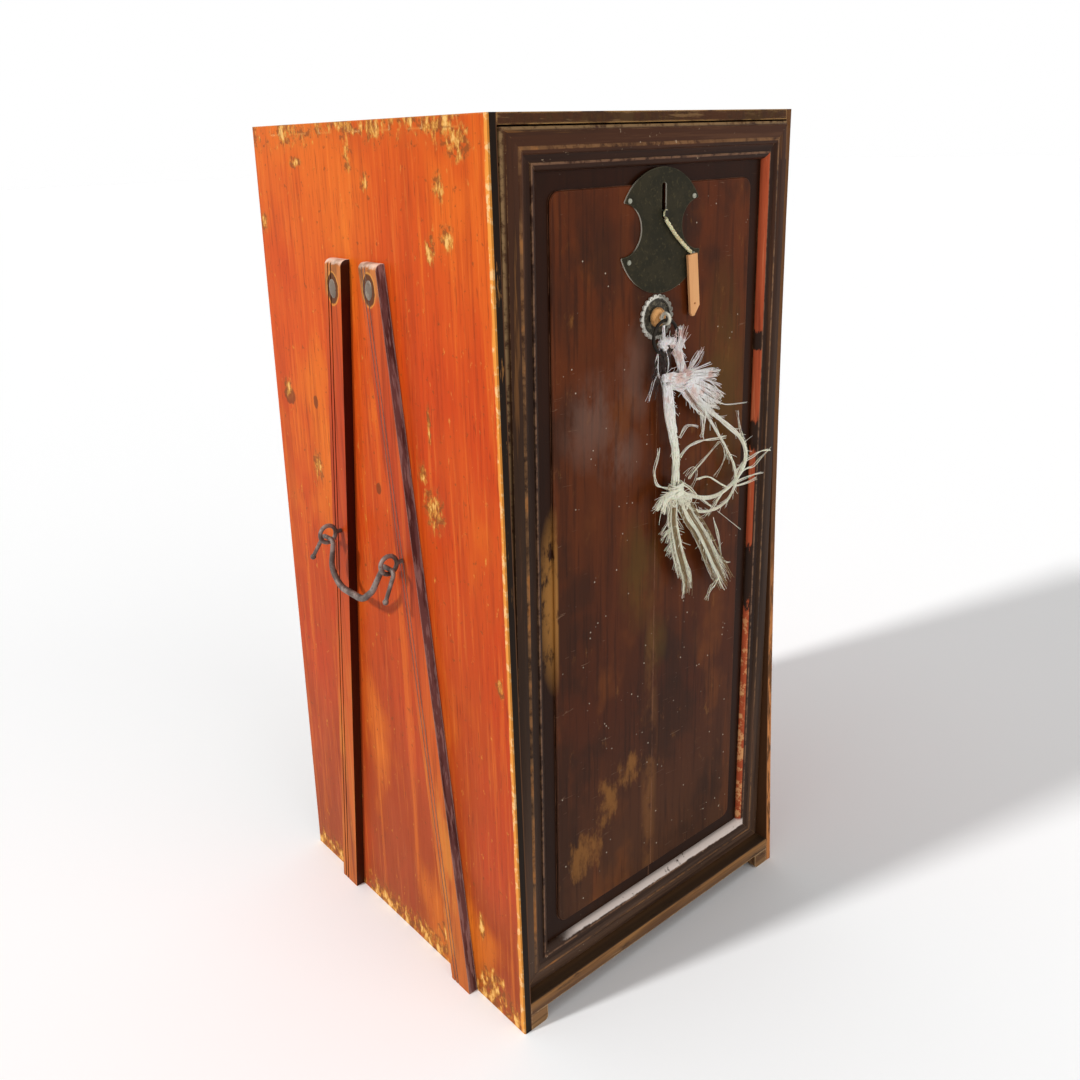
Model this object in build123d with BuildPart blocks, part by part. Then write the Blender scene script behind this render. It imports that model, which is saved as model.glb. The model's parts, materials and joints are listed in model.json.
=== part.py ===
from build123d import *
import math
import os

# Kang cabinet: a narrow chest of thin boards with one lift-out door at the front, and two
# inclined battens with a drop handle on each side.
# Frame: origin on the floor under the middle of the case, +Z up, the front faces -Y.
# All sizes are millimetres.

# ---------------------------------------------------------------- driving dimensions
# Case
case_width = 400.0
case_depth = 417.0
case_height = 900.0
side_thickness = 9.0
top_thickness = 10.0
back_thickness = 8.0
bottom_thickness = 13.0
foot_height = 17.4
foot_width = 22.0
foot_depth = 30.0
foot_round = 5.0
side_edge_wear = 1.2
side_front_hollows = {"left": 0.8, "right": 6.0}
bottom_edge_wear = 3.0
plank_gap = 0.4
dovetail_pitch = 52.0
dovetail_width = 25.0
dovetail_angle_deg = 76.0

# Shelves, each on a cleat at both ends
shelf_thickness = 8.0
shelf_heights = {"lower": 310.0, "upper": 600.0}
shelf_end_gap = 0.4
shelf_setback = 62.0
cleat_height = 14.0
cleat_depth = 10.0

# Door and what it closes against
door_side_gap = 1.2
door_top_gap = 1.7
door_foot_gap = 0.3
door_recess = 13.2
door_thickness = 24.0
door_lean_deg = 1.27
door_stop_gap = 0.5
stop_width = 10.0
stop_depth = 8.0
keeper_drop = 20.0

# Moulding of the door frame, in from the outer edge and back from its highest point
member_width = 37.5
arris_radius = 3.6
band_width = 16.0
band_sink = 0.6
band_crown = 0.5
bead_width = 6.5
cove_sink = 2.1
cove_hollow = 0.6
nose_width = 8.0
nose_sink = 0.6
groove_depth = 9.0
groove_play = 0.1

# Panel: two boards in the grooves, with one raised field cut across both
border_depth = 8.0
panel_thickness = 9.0
panel_end_gap = 0.8
panel_seam_x = 1.2
seam_gap = 0.2
field_rise = 3.0
field_margin = 16.5
field_corner = 11.0
field_edge_wear = 1.0

# Lock plate: two round lobes with a bite on each side between their cusps. The plate hangs
# down from the door's head, and its parts are measured down from its top
lock_x = 3.5
plate_thickness = 1.6
plate_head_drop = 38.6
plate_height = 118.2
upper_cusp_drop = 31.0
upper_cusp_reach = 51.0
waist_drop = 56.0
waist_reach = 27.5
lower_cusp_drop = 80.0
lower_cusp_reach = 54.5
cusp_round = 1.5
slot_offset_x = 2.0
slot_width = 6.6
slot_drop = 14.0
slot_length = 34.5
nail_inset = 7.0
upper_nail_drop = 29.0
lower_nail_drop = 85.0
lower_nail_inset = 9.7
nail_shank_radius = 1.2
nail_head_radius = 2.5
nail_head_height = 1.3
nail_bite = 5.0

# Lock bolt behind the panel, between two cheeks, under two staples
cheek_width = 24.0
cheek_foot_drop = 73.0
cheek_top_gap = 1.0
bolt_width = 16.0
bolt_thickness = 4.0
bolt_foot_drop = 67.0
bolt_play = 0.2
keeper_play = 0.5
bolt_top_gap = 2.4
lug_width = 4.4
lug_height = 6.0
lug_proud = 4.0
lug_rise = 2.5
staple_wire_radius = 1.5
staple_play = 0.3
staple_bite = 8.0
staple_insets = {"lower": 9.0, "upper": 9.0}

# Rosette with the eye of the pull
rosette_x = -2.0
rosette_gap = 0.5
rosette_radius = 22.3
scallop_count = 22
scallop_radius = 2.7
rosette_thickness = 2.0
dish_inner_radius = 10.5
dish_outer_radius = 16.5
dish_depth = 1.0
dome_radius = 9.6
dome_height = 4.0
dome_crown_radius = 3.4
eye_wire_radius = 1.7
eye_loop_radius = 5.0
eye_reach = 12.8
eye_clinch = 10.0
shank_play = 0.1

# Pull ring and the rope tied to it
ring_radius = 16.5
ring_wire_radius = 1.6
ring_seat_gap = 0.3
hitch_radius = 6.4
hitch_length = 19.0
hitch_offset_x = 7.0
hitch_gap = 0.5
rope_gap = 0.3
rope_radius = 5.0
strand_radius = 3.2
upper_knot_width = 32.0
upper_knot_height = 24.0
upper_knot_offset_x = 10.0
knot_spacing = 103.7
lower_knot_offset_x = 19.0
lower_knot_width = 36.0
lower_knot_tall = 30.0
knot_corner = 7.0
knot_thickness = 13.0
fan_reach = 66.0
fan_height = 34.0
fan_root_height = 14.0
fan_thickness = 7.0
fan_turn_deg = -22.0
tassel_drop = 122.0
tassel_spread = 90.0
tassel_root_width = 22.0
tassel_thickness = 8.0
tassel_lean = 50.0
loop_end_gap = 1.6

# Routes of the strap and the loop between the knots: across from the upper knot's middle,
# and up from the lower knot's middle
strap_bends = [(-5.7, 90.0), (5.8, 58.0), (9.0, 36.5)]
loop_start_run = 18.0
loop_bends = [
    (55.0, 82.0),
    (84.0, 61.5),
    (112.0, 39.0),
    (121.0, 22.0),
    (116.0, 4.0),
    (99.0, -10.0),
    (75.0, -17.0),
    (50.0, -13.5),
]
strap_top_x = -6.0
strap_foot_x = 8.6
loop_end_rise = -4.5

# Twine and wooden tag tied under the bolt's lug
twine_radius = 1.7
twine_steps = [(10.2, 12.6), (23.0, 24.0), (36.4, 34.4)]
tie_gap = 0.3
tag_hang_x = 1.5
tag_width = 13.5
tag_length = 61.0
tag_thickness = 2.6
tag_tilt_deg = 5.5
tag_clip = 5.5
tag_hole_radius = 1.1
tag_hole_rise = 12.0

# Side battens
batten_width = 31.0
batten_thickness = 10.5
batten_top = 768.0
batten_head_round = 7.0
front_batten_top_y = -24.6
front_batten_foot_y = -113.0
rear_batten_top_y = 38.9
rear_batten_foot_y = 115.6
flute_width = 1.6
flute_depth = 1.2
flute_insets = (6.0, 11.5)

# Side handles and their eyes
eye_positions = {"front": -53.5, "rear": 66.5}
handle_eye_height = 473.0
handle_stand = 26.5
handle_wire_radius = 2.3
handle_loop_radius = 9.3
handle_clinch = 14.0
bail_seat_gap = 0.3

# Bail: along from its eyes and down from the axis on which it swings
bail_grip_radius = 3.5
bail_neck_radius = 2.5
bail_tail_radius = 2.1
bail_section_places = [0.0, 0.16, 0.6, 0.84, 1.0]
neck_reach = 10.0
neck_bend = 5.0
bail_drop = 51.5
front_shoulder = (35.0, 35.0)
front_grip_run = 56.0
rear_grip_run = 18.0
rear_shoulder = (1.5, 34.0)
rear_neck_start = 11.0
rear_neck_bend = 4.5
shoulder_bend = 22.0
rear_shoulder_bend = 16.0
grip_bend = 26.0
tail_flare = 9.5
tail_knob_radius = 3.2
front_tail = (-5.0, 31.0)
rear_tail = (20.0, 25.0)

# ---------------------------------------------------------------- derived sizes
half_width = case_width / 2
half_depth = case_depth / 2
inner_half = half_width - side_thickness
inner_top = case_height - top_thickness
floor_top = foot_height + bottom_thickness
back_inner_y = half_depth - back_thickness
shelf_front_y = -half_depth + shelf_setback

door_half = inner_half - door_side_gap
door_foot_z = floor_top + door_foot_gap
door_height = inner_top - door_top_gap - door_foot_z
lean = math.radians(door_lean_deg)
door_plane = Plane(
    origin=(0, -half_depth + door_recess, door_foot_z),
    x_dir=(1, 0, 0),
    z_dir=(0, -math.cos(lean), -math.sin(lean)),
)
out_axis = Axis(door_plane.origin, door_plane.z_dir)
opening_half = door_half - member_width
opening_top = door_height - member_width
plate_top = door_height - plate_head_drop
plate_bottom = plate_top - plate_height
slot_top = plate_top - slot_drop
slot_bottom = slot_top - slot_length
slot_middle = (slot_top + slot_bottom) / 2
cheek_bottom = plate_top - cheek_foot_drop
cheek_top = opening_top - cheek_top_gap
staple_heights = {
    "lower": cheek_bottom + staple_insets["lower"],
    "upper": cheek_top - staple_insets["upper"],
}
field_depth = border_depth - field_rise
panel_back = border_depth + panel_thickness
plate_face = field_depth - plate_thickness
slot_x = lock_x + slot_offset_x

stop_front_y = -half_depth + door_recess + door_thickness + door_stop_gap
bolt_front = door_thickness + door_stop_gap + stop_depth + keeper_play
bolt_top = inner_top - keeper_drop - bolt_top_gap - door_foot_z
bolt_bottom = plate_top - bolt_foot_drop
lug_foot = slot_bottom + lug_rise
tag_back = plate_face - nail_head_height - tie_gap
twine_depth = tag_back - tag_thickness / 2

rosette_height = plate_bottom - rosette_gap - rosette_radius
ring_depth = field_depth - eye_reach
eye_hole_radius = eye_loop_radius - eye_wire_radius
ring_top_height = rosette_height - eye_hole_radius + ring_wire_radius + ring_seat_gap
ring_centre_height = ring_top_height - ring_radius
hitch_height = ring_centre_height - ring_radius
upper_knot_top = hitch_height - hitch_radius - hitch_gap
upper_knot_x = rosette_x + upper_knot_offset_x
upper_knot_centre = upper_knot_top - upper_knot_height / 2
upper_knot_foot = upper_knot_top - upper_knot_height
lower_knot_x = rosette_x + lower_knot_offset_x
lower_knot_height = upper_knot_foot - knot_spacing - lower_knot_tall / 2

eye_hole_foot = handle_eye_height - handle_loop_radius + handle_wire_radius
handle_axis_height = eye_hole_foot + bail_seat_gap + bail_neck_radius


def door_at(depth):
    """Plane parallel to the door's face, `depth` behind it, looking out of the cabinet."""
    return door_plane.offset(-depth)


def door_point(x, height, depth):
    """World place of a point given across the door, up the door and behind its face."""
    return door_plane.from_local_coords(Vector(x, height, -depth))


def save(sub_part, name):
    """Label one sub-part and write its STEP file."""
    sub_part.part.label = name
    export_step(sub_part.part, f"parts/{name}.step")


def bend_radii(points):
    """Fillet radii that keep a route of straight runs smooth at each of its corners."""
    radii = []
    for before, corner, after in zip(points, points[1:], points[2:]):
        run_in = Vector(corner) - Vector(before)
        run_out = Vector(after) - Vector(corner)
        half_turn = math.radians(run_in.get_angle(run_out)) / 2
        radii.append(0.45 * min(run_in.length, run_out.length) / math.tan(half_turn))
    print("bend radii:", *[round(radius) for radius in radii])
    return radii


os.makedirs("parts", exist_ok=True)


# ---------------------------------------------------------------- case
def side_plane(side):
    """Plane on the outer face of one side board, looking outward, with local y up."""
    return Plane(origin=(side * half_width, 0, 0), x_dir=(0, side, 0), z_dir=(side, 0, 0))


SIDES = {"left": -1, "right": 1}
dovetail_count = max(2, int((case_depth - dovetail_width) // dovetail_pitch))

for side_name, side in SIDES.items():
    hollow = side_front_hollows[side_name]
    front = -side * half_depth
    with BuildPart() as side_board:
        with BuildSketch(side_plane(side)):
            with BuildLine():
                Polyline((front, 0), (-front, 0), (-front, case_height), (front, case_height))
                ThreePointArc(
                    (front, case_height), (front + side * hollow, case_height / 2), (front, 0)
                )
            make_face()
        extrude(amount=-side_thickness)
        outer_face = side_board.faces().filter_by(Axis.X).sort_by(Axis.X)[0 if side < 0 else -1]
        chamfer(outer_face.edges().sort_by(Axis.Y)[0], length=side_edge_wear)
        with BuildSketch(side_plane(side)):
            with Locations((0, case_height - top_thickness / 2)):
                with GridLocations(dovetail_pitch, 1, dovetail_count, 1):
                    Trapezoid(dovetail_width, top_thickness, dovetail_angle_deg)
        extrude(amount=-side_thickness, mode=Mode.SUBTRACT)
        with BuildSketch(side_plane(side)):
            with Locations(*[(side * y, handle_eye_height) for y in eye_positions.values()]):
                Circle(handle_wire_radius + shank_play)
        extrude(amount=-side_thickness, mode=Mode.SUBTRACT)
    save(side_board, f"side_board_{side_name}")

with BuildPart() as top_board:
    with BuildSketch(Plane.XY.offset(inner_top)):
        Rectangle(2 * inner_half, case_depth)
    extrude(amount=top_thickness)
    for side in SIDES.values():
        with BuildSketch(side_plane(side)):
            with Locations((0, case_height - top_thickness / 2)):
                with GridLocations(dovetail_pitch, 1, dovetail_count, 1):
                    Trapezoid(dovetail_width, top_thickness, dovetail_angle_deg)
        extrude(amount=-side_thickness)
save(top_board, "top_board")

with BuildPart() as bottom_board:
    with BuildSketch(Plane.XY.offset(foot_height)):
        with Locations((0, (back_inner_y - half_depth) / 2)):
            Rectangle(2 * inner_half, back_inner_y + half_depth)
    extrude(amount=bottom_thickness)
    front_edges = bottom_board.edges().filter_by(Axis.X).group_by(Axis.Y)[0]
    fillet(front_edges.sort_by(Axis.Z)[-1], radius=bottom_edge_wear)
save(bottom_board, "bottom_board")

plank_width = inner_half - plank_gap / 2
for side_name, side in SIDES.items():
    with BuildPart() as back_plank:
        with BuildSketch(Plane.XY.offset(foot_height)):
            with Locations((side * (plank_gap + plank_width) / 2, half_depth - back_thickness / 2)):
                Rectangle(plank_width, back_thickness)
        extrude(amount=inner_top - foot_height)
    save(back_plank, f"back_plank_{side_name}")

for end_name, end in {"front": -1, "rear": 1}.items():
    for side_name, side in SIDES.items():
        foot_x = side * (inner_half - foot_width / 2)
        with BuildPart() as foot:
            with BuildSketch(Plane.XY):
                with Locations((foot_x, end * (half_depth - foot_depth / 2))):
                    Rectangle(foot_width, foot_depth)
            extrude(amount=foot_height)
            inward_face = foot.faces().filter_by(Axis.X).sort_by(Axis.X)[0 if side > 0 else -1]
            fillet(inward_face.edges().sort_by(Axis.Z)[0], radius=foot_round)
        save(foot, f"foot_{end_name}_{side_name}")

shelf_depth = back_inner_y - shelf_front_y
for shelf_name, shelf_z in shelf_heights.items():
    with BuildPart() as shelf:
        with BuildSketch(Plane.XY.offset(shelf_z)):
            with Locations((0, (shelf_front_y + back_inner_y) / 2)):
                Rectangle(2 * (inner_half - shelf_end_gap), shelf_depth)
        extrude(amount=shelf_thickness)
    save(shelf, f"shelf_{shelf_name}")
    for side_name, side in SIDES.items():
        with BuildPart() as cleat:
            with BuildSketch(Plane.XY.offset(shelf_z - cleat_height)):
                with Locations(
                    (side * (inner_half - cleat_depth / 2), (shelf_front_y + back_inner_y) / 2)
                ):
                    Rectangle(cleat_depth, shelf_depth)
            extrude(amount=cleat_height)
        save(cleat, f"shelf_cleat_{shelf_name}_{side_name}")

for side_name, side in SIDES.items():
    with BuildPart() as door_stop:
        with BuildSketch(Plane.XY.offset(floor_top)):
            with Locations((side * (inner_half - stop_width / 2), stop_front_y + stop_depth / 2)):
                Rectangle(stop_width, stop_depth)
        extrude(amount=inner_top - floor_top)
    save(door_stop, f"door_stop_{side_name}")

with BuildPart() as lock_keeper:
    with BuildSketch(Plane.XY.offset(inner_top - keeper_drop)):
        with Locations((0, stop_front_y + stop_depth / 2)):
            Rectangle(2 * (inner_half - stop_width), stop_depth)
    extrude(amount=keeper_drop)
save(lock_keeper, "lock_keeper")


# ---------------------------------------------------------------- battens and handles
def batten(side, top_y, foot_y, eye_y, name):
    """One inclined batten, rounded over at its head, fluted beside its rear edge."""
    half = batten_width / 2
    slant = math.degrees(math.atan2(foot_y - top_y, batten_top))
    with BuildPart() as strip:
        with BuildSketch(side_plane(side)):
            with BuildLine():
                Polyline(
                    (side * (foot_y - half), 0),
                    (side * (foot_y + half), 0),
                    (side * (top_y + half), batten_top),
                    (side * (top_y - half), batten_top),
                    close=True,
                )
            make_face()
        extrude(amount=batten_thickness)
        outer_face = strip.faces().filter_by(Axis.X).sort_by(Axis.X)[0 if side < 0 else -1]
        fillet(outer_face.edges().sort_by(Axis.Z)[-1], radius=batten_head_round)
        with BuildSketch(side_plane(side).offset(batten_thickness)):
            for inset in flute_insets:
                middle = (top_y + foot_y) / 2 + half - inset
                with Locations((side * middle, batten_top / 2)):
                    Rectangle(flute_width, 2 * batten_top, rotation=side * slant)
        extrude(amount=-flute_depth, mode=Mode.SUBTRACT)
        with BuildSketch(side_plane(side)):
            with Locations((side * eye_y, handle_eye_height)):
                Circle(handle_wire_radius + shank_play)
        extrude(amount=batten_thickness, mode=Mode.SUBTRACT)
    save(strip, name)


def handle_eye(side, eye_y, name):
    """Cotter eye: a loop outside the batten, a shank through the boards, clinched inside."""
    centre_x = side * (half_width + handle_stand)
    inner_x = side * (inner_half - handle_wire_radius)
    shank_start = side * (half_width + handle_stand - handle_loop_radius)
    with BuildPart() as eye:
        with BuildSketch(Plane.XY.offset(handle_eye_height)):
            with Locations((centre_x + handle_loop_radius, eye_y)):
                Circle(handle_wire_radius)
        revolve(axis=Axis((centre_x, eye_y, handle_eye_height), (0, 1, 0)))
        with BuildSketch(Plane(origin=(inner_x, eye_y, handle_eye_height), z_dir=(side, 0, 0))):
            Circle(handle_wire_radius)
        extrude(amount=abs(shank_start - inner_x))
        with BuildSketch(Plane.XY.offset(handle_eye_height - handle_clinch)):
            with Locations((inner_x, eye_y)):
                Circle(handle_wire_radius)
        extrude(amount=2 * handle_clinch)
    save(eye, name)


def handle(side, name):
    """Forged bail hung in two eyes, thickest in its grip, its knobbed tails turned down outside."""
    front_eye, rear_eye = eye_positions.values()

    def place(along, drop, flare=0.0):
        return Vector(side * (half_width + handle_stand + flare), along, handle_axis_height - drop)

    route = [
        place(front_eye + front_tail[0], front_tail[1], tail_flare),
        place(front_eye - neck_reach, 0),
        place(front_eye + neck_reach, 0),
        place(front_eye + front_shoulder[0], front_shoulder[1]),
        place(front_eye + front_grip_run, bail_drop),
        place(rear_eye - rear_grip_run, bail_drop),
        place(rear_eye - rear_shoulder[0], rear_shoulder[1]),
        place(rear_eye - rear_neck_start, 0),
        place(rear_eye + neck_reach, 0),
        place(rear_eye + rear_tail[0], rear_tail[1], tail_flare),
    ]
    corner_radii = [
        neck_bend,
        neck_bend,
        shoulder_bend,
        grip_bend,
        grip_bend,
        rear_shoulder_bend,
        rear_neck_bend,
        neck_bend,
    ]
    section_radii = [
        bail_tail_radius,
        bail_neck_radius,
        bail_grip_radius,
        bail_neck_radius,
        bail_tail_radius,
    ]
    with BuildPart() as bail:
        with BuildLine() as path:
            FilletPolyline(*route, radius=corner_radii)
        for place_along, radius in zip(bail_section_places, section_radii):
            with BuildSketch(Plane(origin=path.line @ place_along, z_dir=path.line % place_along)):
                Circle(radius)
        sweep(multisection=True)
        with Locations(path.line @ 0, path.line @ 1):
            Sphere(tail_knob_radius)
    save(bail, name)


for side_name, side in SIDES.items():
    batten(
        side,
        front_batten_top_y,
        front_batten_foot_y,
        eye_positions["front"],
        f"batten_{side_name}_front",
    )
    batten(
        side,
        rear_batten_top_y,
        rear_batten_foot_y,
        eye_positions["rear"],
        f"batten_{side_name}_rear",
    )
    for end_name, eye_y in eye_positions.items():
        handle_eye(side, eye_y, f"handle_eye_{side_name}_{end_name}")
    handle(side, f"handle_{side_name}")

# ---------------------------------------------------------------- door frame
outer_corners = [(-door_half, 0), (door_half, 0), (door_half, door_height), (-door_half, door_height)]
inner_corners = [
    (-opening_half, member_width),
    (opening_half, member_width),
    (opening_half, opening_top),
    (-opening_half, opening_top),
]
members = {
    "door_rail_bottom": (0, 1),
    "door_stile_right": (-1, 0),
    "door_rail_top": (0, -1),
    "door_stile_left": (1, 0),
}
bead_end = band_width + bead_width
nose_start = member_width - nose_width
into_case = -door_plane.z_dir

for index, (member_name, inward) in enumerate(members.items()):
    after = (index + 1) % len(members)
    start = Vector(*outer_corners[index])
    end = Vector(*outer_corners[after])
    inward_dir = door_point(*inward, 0) - door_point(0, 0, 0)
    middle = (start + end) / 2
    profile_plane = Plane(
        origin=door_point(middle.X, middle.Y, 0),
        x_dir=inward_dir,
        z_dir=inward_dir.cross(into_case),
    )
    with BuildPart() as member:
        with BuildSketch(profile_plane):
            with BuildLine():
                Line((0, door_thickness), (0, band_sink + arris_radius))
                RadiusArc(
                    (0, band_sink + arris_radius), (arris_radius, band_sink), arris_radius
                )
                ThreePointArc(
                    (arris_radius, band_sink),
                    ((arris_radius + band_width) / 2, band_sink - band_crown),
                    (band_width, band_sink),
                )
                ThreePointArc(
                    (band_width, band_sink),
                    (band_width + bead_width / 2, 0),
                    (bead_end, cove_sink),
                )
                ThreePointArc(
                    (bead_end, cove_sink),
                    ((bead_end + nose_start) / 2, cove_sink + cove_hollow),
                    (nose_start, cove_sink),
                )
                Line((nose_start, cove_sink), (nose_start, nose_sink))
                ThreePointArc(
                    (nose_start, nose_sink),
                    (
                        nose_start + nose_width * math.sqrt(0.5),
                        border_depth - (border_depth - nose_sink) * math.sqrt(0.5),
                    ),
                    (member_width, border_depth - groove_play),
                )
                Polyline(
                    (member_width, border_depth - groove_play),
                    (member_width - groove_depth, border_depth - groove_play),
                    (member_width - groove_depth, panel_back + groove_play),
                    (member_width, panel_back + groove_play),
                    (member_width, door_thickness),
                    (0, door_thickness),
                )
            make_face()
        extrude(amount=(end - start).length / 2, both=True)
        with BuildSketch(door_at(door_thickness)):
            with BuildLine():
                Polyline(
                    outer_corners[index],
                    outer_corners[after],
                    inner_corners[after],
                    inner_corners[index],
                    close=True,
                )
            make_face()
        extrude(amount=2 * door_thickness, mode=Mode.INTERSECT)
    save(member, member_name)

# ---------------------------------------------------------------- door panel
panel_half = opening_half + groove_depth - panel_end_gap
panel_foot = member_width - groove_depth + panel_end_gap
panel_head = door_height - panel_foot
field_half = opening_half - field_margin
field_height = opening_top - member_width - 2 * field_margin
nail_rows = [
    (upper_cusp_reach - nail_inset, plate_top - upper_nail_drop),
    (lower_cusp_reach - lower_nail_inset, plate_top - lower_nail_drop),
]
nail_points = [(lock_x + side * reach, height) for reach, height in nail_rows for side in (-1, 1)]

panel_spans = {
    "left": (-panel_half, panel_seam_x - seam_gap / 2),
    "right": (panel_seam_x + seam_gap / 2, panel_half),
}
for side_name, (span_start, span_end) in panel_spans.items():
    with BuildPart() as panel_board:
        with BuildSketch(door_at(panel_back)):
            with Locations((0, door_height / 2)):
                Rectangle(2 * panel_half, panel_head - panel_foot)
        extrude(amount=panel_thickness)
        with BuildSketch(door_at(border_depth)):
            with Locations((0, door_height / 2)):
                RectangleRounded(2 * field_half, field_height, field_corner)
        extrude(amount=field_rise)
        field_top = panel_board.faces().sort_by(out_axis)[-1]
        chamfer(field_top.edges(), length=field_edge_wear)
        with BuildSketch(door_at(panel_back)):
            with Locations(((span_start + span_end) / 2, door_height / 2)):
                Rectangle(span_end - span_start, door_height)
        extrude(amount=panel_thickness + field_rise, mode=Mode.INTERSECT)
        with BuildSketch(door_at(panel_back)):
            with Locations((slot_x, slot_middle)):
                Rectangle(slot_width, slot_length)
            with Locations((rosette_x, rosette_height)):
                Circle(eye_wire_radius + shank_play)
        extrude(amount=panel_thickness + field_rise, mode=Mode.SUBTRACT)
        with BuildSketch(door_at(field_depth)):
            with Locations(*nail_points):
                Circle(nail_shank_radius)
        extrude(amount=-nail_bite, mode=Mode.SUBTRACT)
    save(panel_board, f"door_panel_{side_name}")

# ---------------------------------------------------------------- lock
upper_cusp_height = plate_top - upper_cusp_drop
lower_cusp_height = plate_top - lower_cusp_drop
with BuildPart() as lock_plate:
    with BuildSketch(door_at(field_depth)):
        with BuildLine():
            for side in (-1, 1):
                ThreePointArc(
                    (lock_x + side * upper_cusp_reach, upper_cusp_height),
                    (lock_x + side * waist_reach, plate_top - waist_drop),
                    (lock_x + side * lower_cusp_reach, lower_cusp_height),
                )
            ThreePointArc(
                (lock_x - upper_cusp_reach, upper_cusp_height),
                (lock_x, plate_top),
                (lock_x + upper_cusp_reach, upper_cusp_height),
            )
            ThreePointArc(
                (lock_x - lower_cusp_reach, lower_cusp_height),
                (lock_x, plate_bottom),
                (lock_x + lower_cusp_reach, lower_cusp_height),
            )
        plate_face_sketch = make_face()
        fillet(plate_face_sketch.vertices(), radius=cusp_round)
        with Locations((slot_x, slot_middle)):
            SlotOverall(slot_length, slot_width, rotation=90, mode=Mode.SUBTRACT)
        with Locations(*nail_points):
            Circle(nail_shank_radius, mode=Mode.SUBTRACT)
    extrude(amount=plate_thickness)
save(lock_plate, "lock_plate")

with BuildPart() as lock_plate_nails:
    with BuildSketch(door_at(plate_face)):
        with Locations(*nail_points):
            Circle(nail_head_radius)
    extrude(amount=nail_head_height)
    head_faces = lock_plate_nails.faces().sort_by(out_axis)[-len(nail_points):]
    fillet(head_faces.edges(), radius=0.8 * nail_head_height)
    with BuildSketch(door_at(plate_face)):
        with Locations(*nail_points):
            Circle(nail_shank_radius)
    extrude(amount=-(plate_thickness + nail_bite))
save(lock_plate_nails, "lock_plate_nails")

cheek_thickness = bolt_front - bolt_play - panel_back
staple_half = bolt_width / 2 + staple_play + staple_wire_radius
staple_back = bolt_front + bolt_thickness + staple_play + staple_wire_radius
for side_name, side in SIDES.items():
    with BuildPart() as lock_cheek:
        with BuildSketch(door_at(panel_back)):
            with Locations(
                (slot_x + side * (slot_width + cheek_width) / 2, (cheek_bottom + cheek_top) / 2)
            ):
                Rectangle(cheek_width, cheek_top - cheek_bottom)
        extrude(amount=-cheek_thickness)
        with BuildSketch(door_at(panel_back + cheek_thickness)):
            with Locations(*[(slot_x + side * staple_half, z) for z in staple_heights.values()]):
                Circle(staple_wire_radius)
        extrude(amount=staple_bite, mode=Mode.SUBTRACT)
    save(lock_cheek, f"lock_cheek_{side_name}")

for staple_name, staple_height in staple_heights.items():
    leg_depth = panel_back + cheek_thickness - staple_bite
    staple_route = [
        door_point(slot_x - staple_half, staple_height, leg_depth),
        door_point(slot_x - staple_half, staple_height, staple_back),
        door_point(slot_x + staple_half, staple_height, staple_back),
        door_point(slot_x + staple_half, staple_height, leg_depth),
    ]
    with BuildPart() as staple:
        with BuildLine() as path:
            FilletPolyline(*staple_route, radius=staple_wire_radius)
        with BuildSketch(Plane(origin=path.line @ 0, z_dir=path.line % 0)):
            Circle(staple_wire_radius)
        sweep()
    save(staple, f"bolt_staple_{staple_name}")

with BuildPart() as lock_bolt:
    with BuildSketch(door_at(bolt_front + bolt_thickness)):
        with Locations((slot_x, (bolt_bottom + bolt_top) / 2)):
            Rectangle(bolt_width, bolt_top - bolt_bottom)
    extrude(amount=bolt_thickness)
    with BuildSketch(door_at(bolt_front)):
        with Locations((slot_x, lug_foot + lug_height / 2)):
            Rectangle(lug_width, lug_height)
    extrude(amount=bolt_front - plate_face + lug_proud)
save(lock_bolt, "lock_bolt")

# ---------------------------------------------------------------- twine and tag
twine_top_x = slot_x - lug_width / 2 + twine_radius
twine_top_height = lug_foot - tie_gap - twine_radius
twine_points = [
    (twine_top_x + across, twine_top_height - down) for across, down in [(0, 0)] + twine_steps
]
twine_route = [door_point(x, height, twine_depth) for x, height in twine_points]
with BuildPart() as key_twine:
    with BuildLine() as path:
        FilletPolyline(*twine_route, radius=bend_radii(twine_route))
    with BuildSketch(Plane(origin=path.line @ 0, z_dir=path.line % 0)):
        Circle(twine_radius)
    sweep()
save(key_twine, "key_twine")

tag_top_x = twine_points[-1][0] + tag_hang_x
tag_top_height = twine_points[-1][1] - twine_radius - tie_gap
tag_tilt = math.radians(tag_tilt_deg)
tag_plane = Plane(
    origin=door_point(tag_top_x, tag_top_height, tag_back),
    x_dir=door_plane.x_dir * math.cos(tag_tilt) + door_plane.y_dir * math.sin(tag_tilt),
    z_dir=door_plane.z_dir,
)
with BuildPart() as wooden_tag:
    with BuildSketch(tag_plane):
        with BuildLine():
            Polyline(
                (-tag_width / 2, 0),
                (tag_width / 2, 0),
                (tag_width / 2, tag_clip * 1.7 - tag_length),
                (tag_width / 2 - tag_clip * 1.5, -tag_length),
                (-tag_width / 2 + tag_clip * 0.4, -tag_length),
                (-tag_width / 2, tag_clip * 0.6 - tag_length),
                close=True,
            )
        make_face()
        with Locations((0, tag_hole_rise - tag_length)):
            Circle(tag_hole_radius, mode=Mode.SUBTRACT)
    extrude(amount=tag_thickness)
save(wooden_tag, "wooden_tag")

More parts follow.
